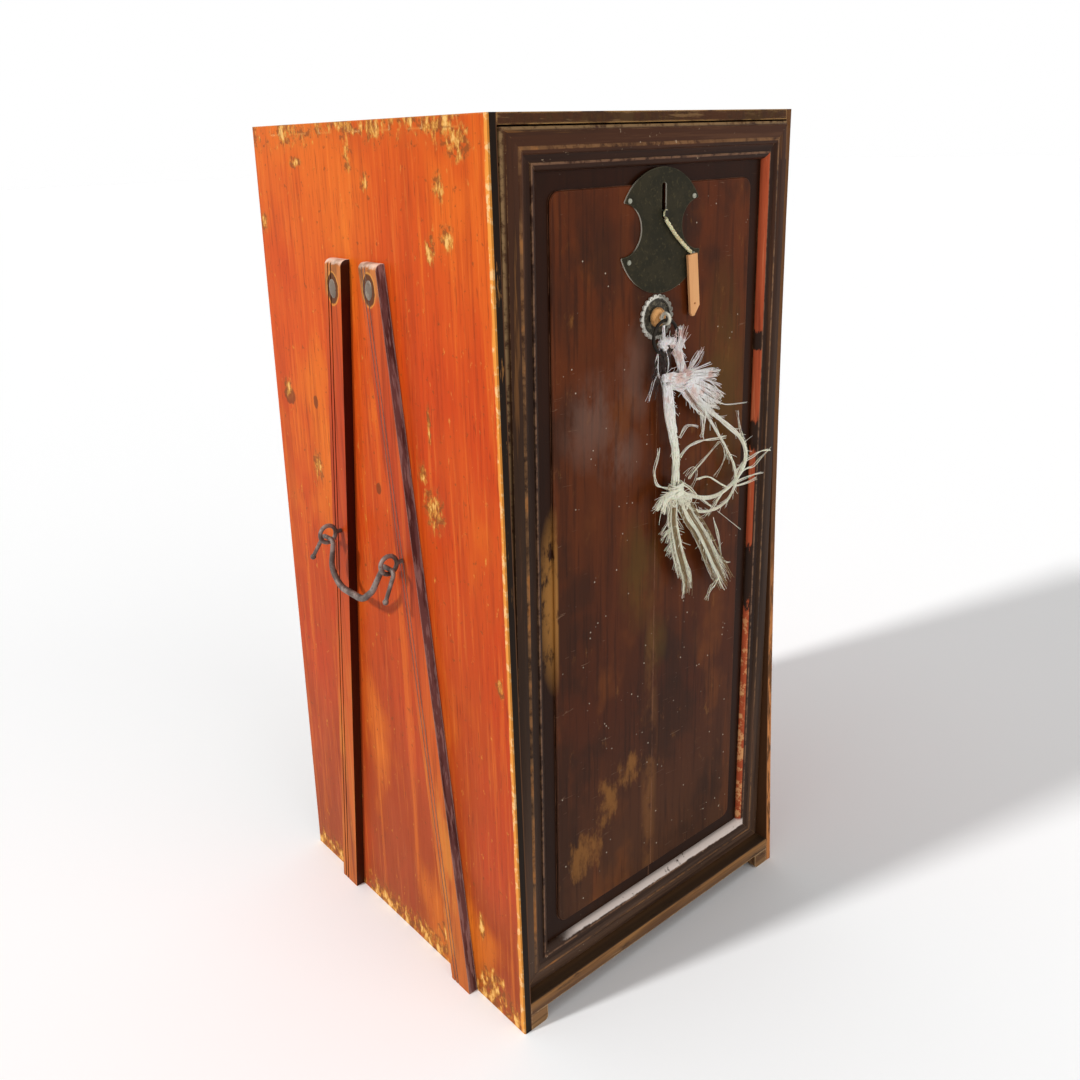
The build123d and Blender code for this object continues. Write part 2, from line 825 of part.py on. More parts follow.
# ---------------------------------------------------------------- rosette, eye and ring
with BuildPart() as rosette_rim:
    with BuildSketch(door_at(field_depth)):
        with Locations((rosette_x, rosette_height)):
            Circle(rosette_radius - scallop_radius)
            with PolarLocations(rosette_radius - scallop_radius, scallop_count):
                Circle(scallop_radius)
            Circle(eye_wire_radius + shank_play, mode=Mode.SUBTRACT)
    extrude(amount=rosette_thickness)
    with BuildSketch(door_at(field_depth - rosette_thickness)):
        with Locations((rosette_x, rosette_height)):
            Circle(dish_outer_radius)
            Circle(dish_inner_radius, mode=Mode.SUBTRACT)
    extrude(amount=-dish_depth, mode=Mode.SUBTRACT)
save(rosette_rim, "rosette_rim")

rosette_centre = door_point(rosette_x, rosette_height, field_depth - rosette_thickness)
dome_plane = Plane(origin=rosette_centre, x_dir=door_plane.x_dir, z_dir=-door_plane.y_dir)
with BuildPart() as rosette_dome:
    with BuildSketch(dome_plane):
        with BuildLine():
            Polyline((dome_crown_radius, dome_height), (eye_wire_radius + shank_play, dome_height))
            Polyline(
                (eye_wire_radius + shank_play, dome_height),
                (eye_wire_radius + shank_play, 0),
                (dome_radius, 0),
            )
            TangentArc((dome_radius, 0), (dome_crown_radius, dome_height), tangent=(0, 1))
        make_face()
    revolve(axis=Axis(rosette_centre, door_plane.z_dir))
save(rosette_dome, "rosette_dome")

ring_plane = door_at(ring_depth)
eye_centre = door_point(rosette_x, rosette_height, ring_depth)
eye_side_plane = Plane(origin=eye_centre, x_dir=door_plane.z_dir, z_dir=door_plane.x_dir)
clinch_depth = panel_back + eye_wire_radius
with BuildPart() as ring_eye:
    with BuildSketch(Plane(origin=eye_centre, x_dir=door_plane.y_dir, z_dir=door_plane.z_dir)):
        with Locations((eye_loop_radius, 0)):
            Circle(eye_wire_radius)
    revolve(axis=Axis(eye_centre, door_plane.x_dir))
    with BuildSketch(door_at(clinch_depth)):
        with Locations((rosette_x, rosette_height)):
            Circle(eye_wire_radius)
    extrude(amount=clinch_depth - ring_depth - eye_loop_radius)
    with BuildSketch(
        Plane(
            origin=door_point(rosette_x, rosette_height - eye_clinch, clinch_depth),
            x_dir=door_plane.x_dir + door_plane.z_dir,
            z_dir=door_plane.y_dir,
        )
    ):
        Circle(eye_wire_radius)
    extrude(amount=2 * eye_clinch)
save(ring_eye, "ring_eye")

ring_centre = door_point(rosette_x, ring_centre_height, ring_depth)
ring_wire_plane = Plane(origin=ring_centre, x_dir=door_plane.x_dir, z_dir=-door_plane.y_dir)
ring_axis = Axis(ring_centre, door_plane.z_dir)
with BuildPart() as pull_ring:
    with BuildSketch(ring_wire_plane):
        with Locations((ring_radius, 0)):
            Circle(ring_wire_radius)
    revolve(axis=ring_axis)
save(pull_ring, "pull_ring")

# ---------------------------------------------------------------- rope
hitch_x = rosette_x + hitch_offset_x
with BuildPart() as rope_hitch:
    with BuildSketch(
        Plane(
            origin=door_point(hitch_x - hitch_length / 2, hitch_height, ring_depth),
            z_dir=door_plane.x_dir,
        )
    ):
        Circle(hitch_radius)
    extrude(amount=hitch_length)
    chamfer(rope_hitch.edges().filter_by(GeomType.CIRCLE), length=0.4 * hitch_radius)
    with BuildSketch(ring_wire_plane):
        with Locations((ring_radius, 0)):
            Circle(ring_wire_radius)
    revolve(axis=ring_axis, mode=Mode.SUBTRACT)
save(rope_hitch, "rope_hitch")


def knot(x, height, width, tall, name):
    """Plain rounded body of one knot, lying in the ring's plane."""
    with BuildPart() as body:
        with BuildSketch(door_at(ring_depth + knot_thickness / 2)):
            with Locations((x, height)):
                RectangleRounded(width, tall, knot_corner)
        extrude(amount=knot_thickness)
        flat_faces = body.faces().filter_by(out_axis)
        chamfer(flat_faces.edges(), length=0.25 * knot_thickness)
    save(body, name)


knot(upper_knot_x, upper_knot_centre, upper_knot_width, upper_knot_height, "rope_knot_upper")
knot(lower_knot_x, lower_knot_height, lower_knot_width, lower_knot_tall, "rope_knot_lower")

strap_foot = lower_knot_height + lower_knot_tall / 2
strap_points = [
    (upper_knot_x + strap_top_x, upper_knot_foot - rope_gap),
    *[(upper_knot_x + across, lower_knot_height + rise) for across, rise in strap_bends],
    (upper_knot_x + strap_foot_x, strap_foot + rope_gap),
]
corner_reach = (knot_corner + rope_gap) * math.sqrt(0.5)
loop_start_x = upper_knot_x + upper_knot_width / 2 - knot_corner + corner_reach
loop_start_height = upper_knot_foot + knot_corner - corner_reach
loop_points = [
    (loop_start_x, loop_start_height),
    (loop_start_x + loop_start_run, loop_start_height - loop_start_run),
    *[(upper_knot_x + across, lower_knot_height + rise) for across, rise in loop_bends],
    (lower_knot_x + lower_knot_width / 2 + loop_end_gap, lower_knot_height + loop_end_rise),
]


def rope_run(points, radius, name):
    """Tube along a route in the ring's plane."""
    route = [door_point(x, height, ring_depth) for x, height in points]
    with BuildPart() as run:
        with BuildLine() as path:
            FilletPolyline(*route, radius=bend_radii(route))
        with BuildSketch(Plane(origin=path.line @ 0, z_dir=path.line % 0)):
            Circle(radius)
        sweep()
    save(run, name)


rope_run(strap_points, rope_radius, "rope_strap")
rope_run(loop_points, strand_radius, "rope_loop")

fan_x = upper_knot_x + upper_knot_width / 2 + rope_gap
with BuildPart() as rope_fan:
    with BuildSketch(door_at(ring_depth + fan_thickness / 2)):
        with BuildLine():
            Polyline(
                (fan_x + fan_reach, upper_knot_centre - 0.1 * fan_height),
                (fan_x, upper_knot_centre + fan_root_height / 2),
                (fan_x, upper_knot_centre - fan_root_height / 2),
                (fan_x + fan_reach, upper_knot_centre - 1.1 * fan_height),
            )
            ThreePointArc(
                (fan_x + fan_reach, upper_knot_centre - 0.1 * fan_height),
                (fan_x + 1.08 * fan_reach, upper_knot_centre - 0.6 * fan_height),
                (fan_x + fan_reach, upper_knot_centre - 1.1 * fan_height),
            )
        make_face()
    extrude(amount=fan_thickness)
save(rope_fan, "rope_fan")

tassel_top = lower_knot_height - lower_knot_tall / 2 - rope_gap
tassel_foot_x = lower_knot_x + tassel_lean
with BuildPart() as rope_tassel:
    with BuildSketch(door_at(ring_depth + tassel_thickness / 2)):
        with BuildLine():
            Polyline(
                (tassel_foot_x - tassel_spread / 2, tassel_top - tassel_drop),
                (lower_knot_x - tassel_root_width / 2, tassel_top),
                (lower_knot_x + tassel_root_width / 2, tassel_top),
                (tassel_foot_x + tassel_spread / 2, tassel_top - 0.95 * tassel_drop),
            )
            ThreePointArc(
                (tassel_foot_x - tassel_spread / 2, tassel_top - tassel_drop),
                (tassel_foot_x, tassel_top - 1.05 * tassel_drop),
                (tassel_foot_x + tassel_spread / 2, tassel_top - 0.95 * tassel_drop),
            )
        make_face()
    extrude(amount=tassel_thickness)
save(rope_tassel, "rope_tassel")
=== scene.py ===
import bmesh
import bpy
import json
import math
import random
from mathutils import Matrix, Vector


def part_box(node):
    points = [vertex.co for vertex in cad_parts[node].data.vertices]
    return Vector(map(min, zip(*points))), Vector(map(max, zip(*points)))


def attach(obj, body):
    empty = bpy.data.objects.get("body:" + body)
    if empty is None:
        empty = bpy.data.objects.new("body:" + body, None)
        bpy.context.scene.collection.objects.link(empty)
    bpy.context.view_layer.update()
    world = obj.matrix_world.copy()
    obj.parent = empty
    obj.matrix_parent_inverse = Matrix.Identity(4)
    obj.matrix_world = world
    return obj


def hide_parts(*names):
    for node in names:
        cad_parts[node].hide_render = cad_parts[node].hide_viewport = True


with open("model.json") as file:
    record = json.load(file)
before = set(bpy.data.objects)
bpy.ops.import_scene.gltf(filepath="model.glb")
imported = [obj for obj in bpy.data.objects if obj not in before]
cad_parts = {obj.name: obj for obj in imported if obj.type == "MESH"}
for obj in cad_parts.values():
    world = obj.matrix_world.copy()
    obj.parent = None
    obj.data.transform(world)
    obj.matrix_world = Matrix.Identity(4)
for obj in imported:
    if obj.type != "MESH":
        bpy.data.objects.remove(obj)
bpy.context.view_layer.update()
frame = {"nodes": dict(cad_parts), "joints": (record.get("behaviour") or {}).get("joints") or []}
MM = 0.001
X, Y, Z = range(3)

# The door leans out of the case about its bottom edge, closed at the hinge's lower limit.
door_tilt = next(joint for joint in frame["joints"] if joint["name"] == "door_tilt")
door_foot = Vector(door_tilt["pos_m"])
door_lean = math.radians(-door_tilt["range_deg"][0])
door_up = Vector((0, -math.sin(door_lean), math.cos(door_lean)))
door_out = Vector((0, -math.cos(door_lean), -math.sin(door_lean)))


def on_door(x, height, depth):
    """Place from millimetres across the door, up the door and behind its highest moulding."""
    return door_foot + MM * (Vector((x, 0, 0)) + door_up * height - door_out * depth)


def srgb(red, green, blue):
    """Linear colour with alpha from screen values of 0 to 255."""
    channels = [value / 255 for value in (red, green, blue)]
    linear = [c / 12.92 if c <= 0.04045 else ((c + 0.055) / 1.055) ** 2.4 for c in channels]
    return (*linear, 1.0)


def add(name, data):
    """New object in the scene, from its mesh, lamp or camera."""
    made = bpy.data.objects.new(name, data)
    bpy.context.collection.objects.link(made)
    return made


# Routes of the two cords and the twine, in millimetres across and up the door
STRAP_ROUTE = [(2.0, 612.4), (2.3, 584.0), (13.8, 552.0), (17.0, 530.5), (16.6, 509.3)]
LOOP_ROUTE = [
    (22.2, 614.5), (40.2, 596.5), (63.0, 576.0), (92.0, 555.5), (120.0, 533.0), (129.0, 516.0),
    (124.0, 498.0), (107.0, 484.0), (83.0, 477.0), (58.0, 480.5), (36.6, 489.5),
]
TWINE_ROUTE = [(5.0, 771.0), (15.2, 758.4), (28.0, 747.0), (41.4, 736.6)]
# Depths are behind the door's highest moulding, so the rope's is in front of it.
TWINE_DEPTH = 0.5
ROPE_DEPTH = -7.8


# -------- node-based finishes
class Finish:
    """One material, built up from patterns that read the object's own coordinates."""

    def __init__(self, name, roughness=0.5, metallic=0.0, gloss=0.5, coat=0.0, coat_roughness=0.2):
        self.material = bpy.data.materials.new(name)
        self.material.use_nodes = True
        self.tree = self.material.node_tree
        self.surface = self.tree.nodes["Principled BSDF"]
        self.surface.inputs["Roughness"].default_value = roughness
        self.surface.inputs["Metallic"].default_value = metallic
        self.surface.inputs["Specular IOR Level"].default_value = gloss
        self.surface.inputs["Coat Weight"].default_value = coat
        self.surface.inputs["Coat Roughness"].default_value = coat_roughness
        self.place = self.tree.nodes.new("ShaderNodeTexCoord").outputs["Object"]
        self.x, self.y, self.z = self.node("ShaderNodeSeparateXYZ", Vector=self.place).outputs
        self.normal = self.tree.nodes.new("ShaderNodeNewGeometry").outputs["Normal"]
        self.colour = None

    def node(self, kind, **inputs):
        made = self.tree.nodes.new(kind)
        for name, value in inputs.items():
            self.feed(made.inputs[name], value)
        return made

    def feed(self, socket, value):
        if isinstance(value, bpy.types.NodeSocket):
            self.tree.links.new(value, socket)
        else:
            socket.default_value = value

    def stretched(self, *scale):
        return self.node("ShaderNodeMapping", Vector=self.place, Scale=scale).outputs["Vector"]

    def noise(self, scale, detail=4.0, rough=0.55, bend=0.0):
        """Noise that runs from about 0.25 to 0.75; scale is per metre, one number or three."""
        even = isinstance(scale, (int, float))
        made = self.node(
            "ShaderNodeTexNoise",
            Vector=self.place if even else self.stretched(*scale),
            Scale=scale if even else 1.0,
            Detail=detail,
            Roughness=rough,
            Distortion=bend,
        )
        return made.outputs["Fac"]

    def math(self, operation, first, second=0.0):
        made = self.tree.nodes.new("ShaderNodeMath")
        made.operation = operation
        self.feed(made.inputs[0], first)
        self.feed(made.inputs[1], second)
        return made.outputs[0]

    def fold(self, operation, values):
        """One result from several values, taken in turn."""
        result, *others = values
        for other in others:
            result = self.math(operation, result, other)
        return result

    def times(self, *values):
        return self.fold("MULTIPLY", values)

    def most(self, *values):
        return self.fold("MAXIMUM", values)

    def least(self, *values):
        return self.fold("MINIMUM", values)

    def plus(self, *values):
        return self.fold("ADD", values)

    def minus(self, first, second):
        return self.math("SUBTRACT", first, second)

    def dot(self, first, second):
        made = self.tree.nodes.new("ShaderNodeVectorMath")
        made.operation = "DOT_PRODUCT"
        self.feed(made.inputs[0], first)
        self.feed(made.inputs[1], second)
        return made.outputs["Value"]

    def span(self, value, low, high):
        """0 where the value is at low, 1 at high; low may be the larger of the two."""
        made = self.tree.nodes.new("ShaderNodeMapRange")
        made.interpolation_type = "SMOOTHSTEP"
        self.feed(made.inputs["Value"], value)
        made.inputs["From Min"].default_value = min(low, high)
        made.inputs["From Max"].default_value = max(low, high)
        made.inputs["To Min"].default_value = 0.0 if low < high else 1.0
        made.inputs["To Max"].default_value = 1.0 if low < high else 0.0
        return made.outputs["Result"]

    def between(self, value, low, high, soft=0.0005):
        """1 from low to high, 0 elsewhere, with soft ends."""
        return self.times(
            self.span(value, low - soft, low + soft), self.span(value, high + soft, high - soft)
        )

    def near(self, across, up, places):
        """1 at the middle of each place, 0 at its edge; a place is two coordinates, reach, tallness."""
        found = 0.0
        for middle_across, middle_up, reach, tall in places:
            sideways = self.math("DIVIDE", self.minus(across, middle_across), reach)
            upward = self.math("DIVIDE", self.minus(up, middle_up), reach * tall)
            squared = self.plus(self.times(sideways, sideways), self.times(upward, upward))
            found = self.most(self.minus(1.0, squared), found)
        return found

    def facing(self, axis, low, high):
        """Mask from how far the surface faces along one axis."""
        parts = self.node("ShaderNodeSeparateXYZ", Vector=self.normal).outputs
        return self.span(parts[axis], low, high)

    def edges(self, radius, low=0.02, high=0.25):
        """1 along the piece's own sharp edges, out to about the radius."""
        rounded = self.node("ShaderNodeBevel", Radius=radius)
        rounded.samples = 6
        return self.span(self.minus(1.0, self.dot(rounded.outputs["Normal"], self.normal)), low, high)

    def door_depth(self):
        """Metres behind the door's highest moulding."""
        return self.minus(self.dot(self.place, -door_out), -door_out.dot(door_foot))

    def choose(self, mask, off, on):
        """One pattern where the mask is 0, the other where it is 1."""
        made = self.tree.nodes.new("ShaderNodeMix")
        numbers = [socket for socket in made.inputs if socket.type == "VALUE"]
        for socket, value in zip(numbers, (mask, off, on)):
            self.feed(socket, value)
        return next(socket for socket in made.outputs if socket.type == "VALUE")

    def blend(self, *stops):
        """Colour up the object, from pairs of height in metres and colour."""
        made = self.node("ShaderNodeValToRGB", Fac=self.z)
        band = made.color_ramp
        while len(band.elements) < len(stops):
            band.elements.new(0.5)
        for element, (position, colour) in zip(band.elements, stops):
            element.position = position
            element.color = srgb(*colour)
        self.colour = made.outputs["Color"]

    def cover(self, mask, colour, share=1.0):
        """Lay one colour over what is there, as far as the mask and the share say."""
        made = self.tree.nodes.new("ShaderNodeMix")
        made.data_type = "RGBA"
        self.feed(made.inputs["Factor"], self.times(mask, share))
        under, over = [socket for socket in made.inputs if socket.type == "RGBA"]
        self.feed(under, self.colour)
        self.feed(over, srgb(*colour))
        self.colour = next(socket for socket in made.outputs if socket.type == "RGBA")

    def layers(self, *rows):
        """Cover in turn; a row is a pattern, where it begins and is full, colour, share, masks."""
        for pattern, low, high, colour, share, *masks in rows:
            self.cover(self.times(self.span(pattern, low, high), *masks), colour, share)

    def end(self, height, strength, shine=None, low=0.3, high=0.6, distance=0.0006):
        """Paint the colour, press the height into the surface and set its roughness."""
        self.feed(self.surface.inputs["Base Color"], self.colour)
        made = self.node("ShaderNodeBump", Height=height, Strength=strength, Distance=distance)
        self.feed(self.surface.inputs["Normal"], made.outputs["Normal"])
        if shine is not None:
            rough = self.tree.nodes.new("ShaderNodeMapRange")
            self.feed(rough.inputs["Value"], shine)
            rough.inputs["To Min"].default_value = low
            rough.inputs["To Max"].default_value = high
            self.feed(self.surface.inputs["Roughness"], rough.outputs["Result"])
        return self.material


# -------- lacquered wood
GOLD = (222, 160, 74)
PALE_GOLD = (240, 205, 150)
INNER_BROWN = (96, 64, 40)
CASE_FRONT, INNER_FACE = -0.1995, 0.192

# Worn places and knots of a side board: y, z, reach, and height as a share of the reach
SIDE_WEAR = [
    (-0.135, 0.841, 0.011, 1.6),
    (-0.165, 0.878, 0.026, 0.8),
    (-0.144, 0.797, 0.013, 1.3),
    (-0.118, 0.785, 0.011, 1.6),
    (-0.014, 0.845, 0.009, 1.5),
    (0.014, 0.864, 0.008, 2.2),
    (0.12, 0.862, 0.02, 0.35),
    (0.2, 0.798, 0.01, 1.5),
    (0.125, 0.532, 0.014, 1.6),
    (-0.0995, 0.62, 0.004, 6.0),
    (-0.085, 0.57, 0.01, 1.5),
    (-0.1, 0.534, 0.022, 1.3),
    (-0.054, 0.441, 0.008, 1.5),
    (-0.191, 0.38, 0.008, 1.6),
    (-0.143, 0.088, 0.007, 3.0),
    (-0.159, 0.024, 0.03, 0.9),
    (-0.078, 0.036, 0.022, 0.8),
    (0.18, 0.612, 0.013, 1.2),
]
SIDE_KNOTS = [(0.178, 0.604, 0.017, 0.8), (0.118, 0.606, 0.0065, 1.5), (-0.001, 0.534, 0.006, 1.4)]


def orange_lacquer(name, is_top=False):
    """Orange lacquer of a side or the top, dirty, rubbed through to gold at the edges."""
    finish = Finish(name, gloss=0.05, coat=0.02, coat_roughness=0.3)
    finish.blend(
        (0.03, (142, 60, 24)),
        (0.2, (158, 60, 20)),
        (0.45, (184, 68, 18)),
        (0.68, (198, 76, 20)),
        (0.9, (212, 102, 28)),
    )
    cloud = finish.noise((7, 7, 4), 3)
    streaks = finish.noise((55, 55, 2.4), 5, 0.6, 0.4)
    fine = finish.noise((210, 210, 8), 4, 0.6)
    pores = finish.noise((420, 420, 26), 3, 0.6)
    finish.layers(
        (cloud, 0.48, 0.62, (182, 52, 14), 0.5),
        (cloud, 0.46, 0.32, (222, 120, 30), 0.5),
        (streaks, 0.5, 0.68, (150, 50, 16), 0.4),
        (streaks, 0.46, 0.32, (226, 118, 36), 0.35),
        (fine, 0.52, 0.68, (134, 46, 16), 0.35),
        (fine, 0.46, 0.32, (232, 136, 52), 0.2),
        (pores, 0.6, 0.68, (100, 36, 12), 0.5),
        (cloud, 0.4, 0.58, (180, 92, 58), 0.2, finish.span(finish.z, 0.4, 0.12)),
    )

    blotch = finish.noise(115, 6, 0.68)
    patch = finish.noise(24, 4, 0.6)
    head = finish.times(finish.span(finish.z, 0.866, 0.894), finish.span(patch, 0.3, 0.62))
    if is_top:
        head = finish.times(head, finish.facing(Z, 0.8, 0.5))
    foot = finish.times(finish.span(finish.z, 0.038, 0.008), finish.span(patch, 0.25, 0.55))
    worn_places = finish.most(head, foot)
    if not is_top:
        worn_places = finish.most(worn_places, finish.near(finish.y, finish.z, SIDE_WEAR))
        knots = finish.plus(finish.near(finish.y, finish.z, SIDE_KNOTS), finish.times(blotch, 0.9))
        finish.cover(finish.span(knots, 0.75, 1.0), (98, 48, 18), 0.75)
    chipped = finish.plus(finish.noise((80, 110, 60), 6, 0.66), finish.times(worn_places, 0.2))
    flecks = finish.span(chipped, 0.62, 0.73)
    finish.layers(
        (blotch, 0.36, 0.6, (166, 98, 38), 0.75, worn_places),
        (finish.plus(blotch, finish.times(worn_places, 0.19)), 0.6, 0.68, (112, 62, 26), 0.65),
        (chipped, 0.62, 0.73, (206, 142, 62), 0.8),
        (chipped, 0.7, 0.8, (234, 188, 112), 0.75),
        (finish.noise(230, 4, 0.6), 0.7, 0.74, (70, 32, 14), 0.7),
    )

    rim = finish.edges(0.0034)
    finish.cover(rim, (206, 128, 56), 0.75)
    finish.layers(
        (patch, 0.5, 0.62, (96, 54, 28), 0.8, rim),
        (blotch, 0.54, 0.6, PALE_GOLD, 0.3, rim),
    )
    if is_top:
        front = finish.facing(Y, -0.4, -0.8)
        streaky = finish.noise((16, 120, 160), 5, 0.7)
        finish.cover(finish.facing(Z, 0.5, 0.8), (140, 76, 38), 0.55)
        finish.cover(front, (62, 42, 28), 0.95)
        finish.layers(
            (streaky, 0.54, 0.64, (128, 96, 62), 0.8, front),
            (streaky, 0.4, 0.5, (198, 152, 92), 0.9, front, rim),
        )
    else:
        wander = finish.times(finish.noise((90, 90, 16), 5, 0.65), 0.007)
        band = finish.span(finish.plus(finish.y, wander), CASE_FRONT + 0.001, CASE_FRONT - 0.001)
        front = finish.facing(Y, -0.6, -0.85)
        front_right = finish.times(front, finish.span(finish.x, -0.05, 0.05))
        streaky = finish.noise((160, 160, 22), 5, 0.7)
        from_middle = finish.math("ABSOLUTE", finish.x)
        finish.cover(band, (226, 150, 62), 0.85)
        finish.layers((blotch, 0.52, 0.6, PALE_GOLD, 0.6, band))
        finish.cover(front, (34, 24, 17))
        finish.cover(front_right, (112, 72, 38), 0.85)
        finish.layers(
            (streaky, 0.6, 0.66, (158, 106, 54), 0.7, front, finish.span(finish.z, 0.3, 0.8)),
            (streaky, 0.42, 0.54, (206, 132, 74), 0.9, front_right, finish.span(finish.z, 0.5, 0.25)),
            (from_middle, INNER_FACE + 0.0002, INNER_FACE - 0.0002, (92, 60, 38), 1),
        )
    height = finish.minus(finish.times(finish.plus(fine, pores), 0.3), finish.times(flecks, 0.9))
    return finish.end(height, 0.3, finish.plus(flecks, finish.times(fine, 0.4)), 0.34, 0.62)


BATTEN_NAILS = [(-0.0262, 0.7425), (0.0425, 0.7385)]
BATTEN_HEAD, BATTEN_CROWN = 0.745, 0.7705


def batten_lacquer():
    """Lacquer of the battens: yellower at the foot, with painted shade on the faces that look forward,
    painted sky light and reflection on the front batten's, and a worn head top with a painted
    highlight.
    """
    finish = Finish("batten_lacquer", gloss=0.05, coat=0.02, coat_roughness=0.3)
    finish.blend(
        (0.04, (176, 92, 34)),
        (0.3, (184, 78, 24)),
        (0.45, (172, 62, 24)),
        (0.62, (176, 62, 22)),
        (0.8, (196, 86, 30)),
    )
    streaks = finish.noise((90, 90, 2.4), 5, 0.6)
    fine = finish.noise((260, 260, 9), 4, 0.6)
    blotch = finish.noise(120, 6, 0.68)
    patch = finish.noise((30, 30, 9), 4, 0.6)
    worn = finish.span(patch, 0.46, 0.6)
    rim = finish.edges(0.0022)
    finish.layers(
        (streaks, 0.5, 0.66, (118, 38, 14), 0.5),
        (streaks, 0.46, 0.32, (214, 108, 36), 0.25),
        (fine, 0.5, 0.66, (100, 36, 14), 0.4),
        (streaks, 0.4, 0.55, (202, 126, 46), 0.6, worn, finish.span(finish.z, 0.4, 0.15)),
        (finish.z, 0.45, 0.2, (202, 120, 50), 0.6, worn, rim),
        (blotch, 0.5, 0.6, (110, 42, 18), 0.25, rim),
    )
    flecks = finish.span(finish.noise(150, 6, 0.7), 0.68, 0.73)
    finish.cover(flecks, GOLD, 0.7)
    head_edge = finish.plus(finish.z, finish.times(blotch, 0.02))
    head = finish.span(head_edge, BATTEN_HEAD - 0.01, BATTEN_HEAD + 0.01)
    finish.cover(head, (184, 118, 62), 0.75)
    nail_places = [(y, z, 0.0135, 1.45) for y, z in BATTEN_NAILS]
    round_nail = finish.plus(finish.near(finish.y, finish.z, nail_places), finish.times(blotch, 0.5))
    finish.layers(
        (patch, 0.48, 0.58, (104, 62, 34), 0.75, head),
        (round_nail, 0.4, 0.5, (214, 146, 62), 0.6),
        (round_nail, 0.55, 0.7, (92, 52, 28), 1),
    )
    # Pale top of each batten's rounded head: rubbed wear with a painted highlight where the top catches
    # the light.
    crown_edge = finish.plus(finish.z, finish.times(blotch, 0.012))
    worn_lit_crown = finish.span(crown_edge, BATTEN_CROWN - 0.002, BATTEN_CROWN + 0.002)
    finish.cover(worn_lit_crown, (224, 198, 178), 0.85)
    finish.layers((patch, 0.5, 0.6, (120, 84, 62), 0.7, worn_lit_crown))
    # Painted shade on the faces that look forward, near black on the back batten; on the front batten,
    # painted sky light with streaks and a painted sky reflection along its arris.
    forward = finish.facing(Y, -0.6, -0.85)
    sky_lit_front_batten = finish.times(forward, finish.span(finish.y, 0.012, -0.012))
    finish.cover(forward, (46, 12, 8), 0.94)
    finish.cover(sky_lit_front_batten, (118, 82, 80), 0.9)
    finish.layers(
        (streaks, 0.48, 0.6, (66, 32, 30), 0.7, sky_lit_front_batten),
        (fine, 0.5, 0.4, (176, 146, 142), 0.5, sky_lit_front_batten),
    )
    finish.cover(finish.times(sky_lit_front_batten, rim), (206, 180, 170), 0.8)
    return finish.end(fine, 0.3, flecks, 0.36, 0.6)


# Places on the door's panel and frame: x, z, reach, and height as a share of the reach
FIELD_PLACES = {
    "gold": [(-0.07, 0.2, 0.026, 1.3), (-0.03, 0.225, 0.03, 1.0), (-0.1, 0.15, 0.034, 1.1)],
    # Olive is a painted reflection on the lacquer.
    "haze": [(-0.085, 0.62, 0.05, 1.1), (-0.05, 0.575, 0.035, 1.0), (-0.02, 0.66, 0.04, 1.4)],
    "olive": [(-0.02, 0.45, 0.035, 2.2), (0.005, 0.36, 0.02, 2.0), (0.1, 0.61, 0.055, 2.9)],
    "dusk": [(-0.09, 0.76, 0.06, 1.6), (0.03, 0.8, 0.07, 0.8), (0.02, 0.34, 0.06, 1.0)],
    "smudges": [(0.005, 0.53, 0.02, 3.0), (-0.01, 0.3, 0.022, 2.4), (0.03, 0.62, 0.018, 4.0)],
    "seam": [(-0.003, 0.22, 0.014, 15.0)],
    # Edge is a painted highlight on the border beside the field's left edge.
    "edge": [(-0.136, 0.45, 0.02, 5.0)],
}
# Painted shadows of the rope on the right stile's nose, where its painted sunlight is left out.
NOSE_ROPE_SHADOWS = [(0.156, 0.663, 0.035, 0.45), (0.156, 0.558, 0.035, 0.75), (0.15, 0.394, 0.035, 1.7)]

# Across the moulding, in from the door's outer edge; depths are behind its highest point
DOOR_HALF, DOOR_TOP = 0.1898, 0.8883
BEAD_START, BEAD_END = 0.016, 0.019
COVE_START = 0.02275
CREST_START, CREST_END = 0.0296, 0.0316
NOSE_START = 0.0306
BORDER_DEPTH, NOSE_DEPTH, PANEL_BACK, FRAME_BACK = 0.0063, 0.0068, 0.014, 0.023


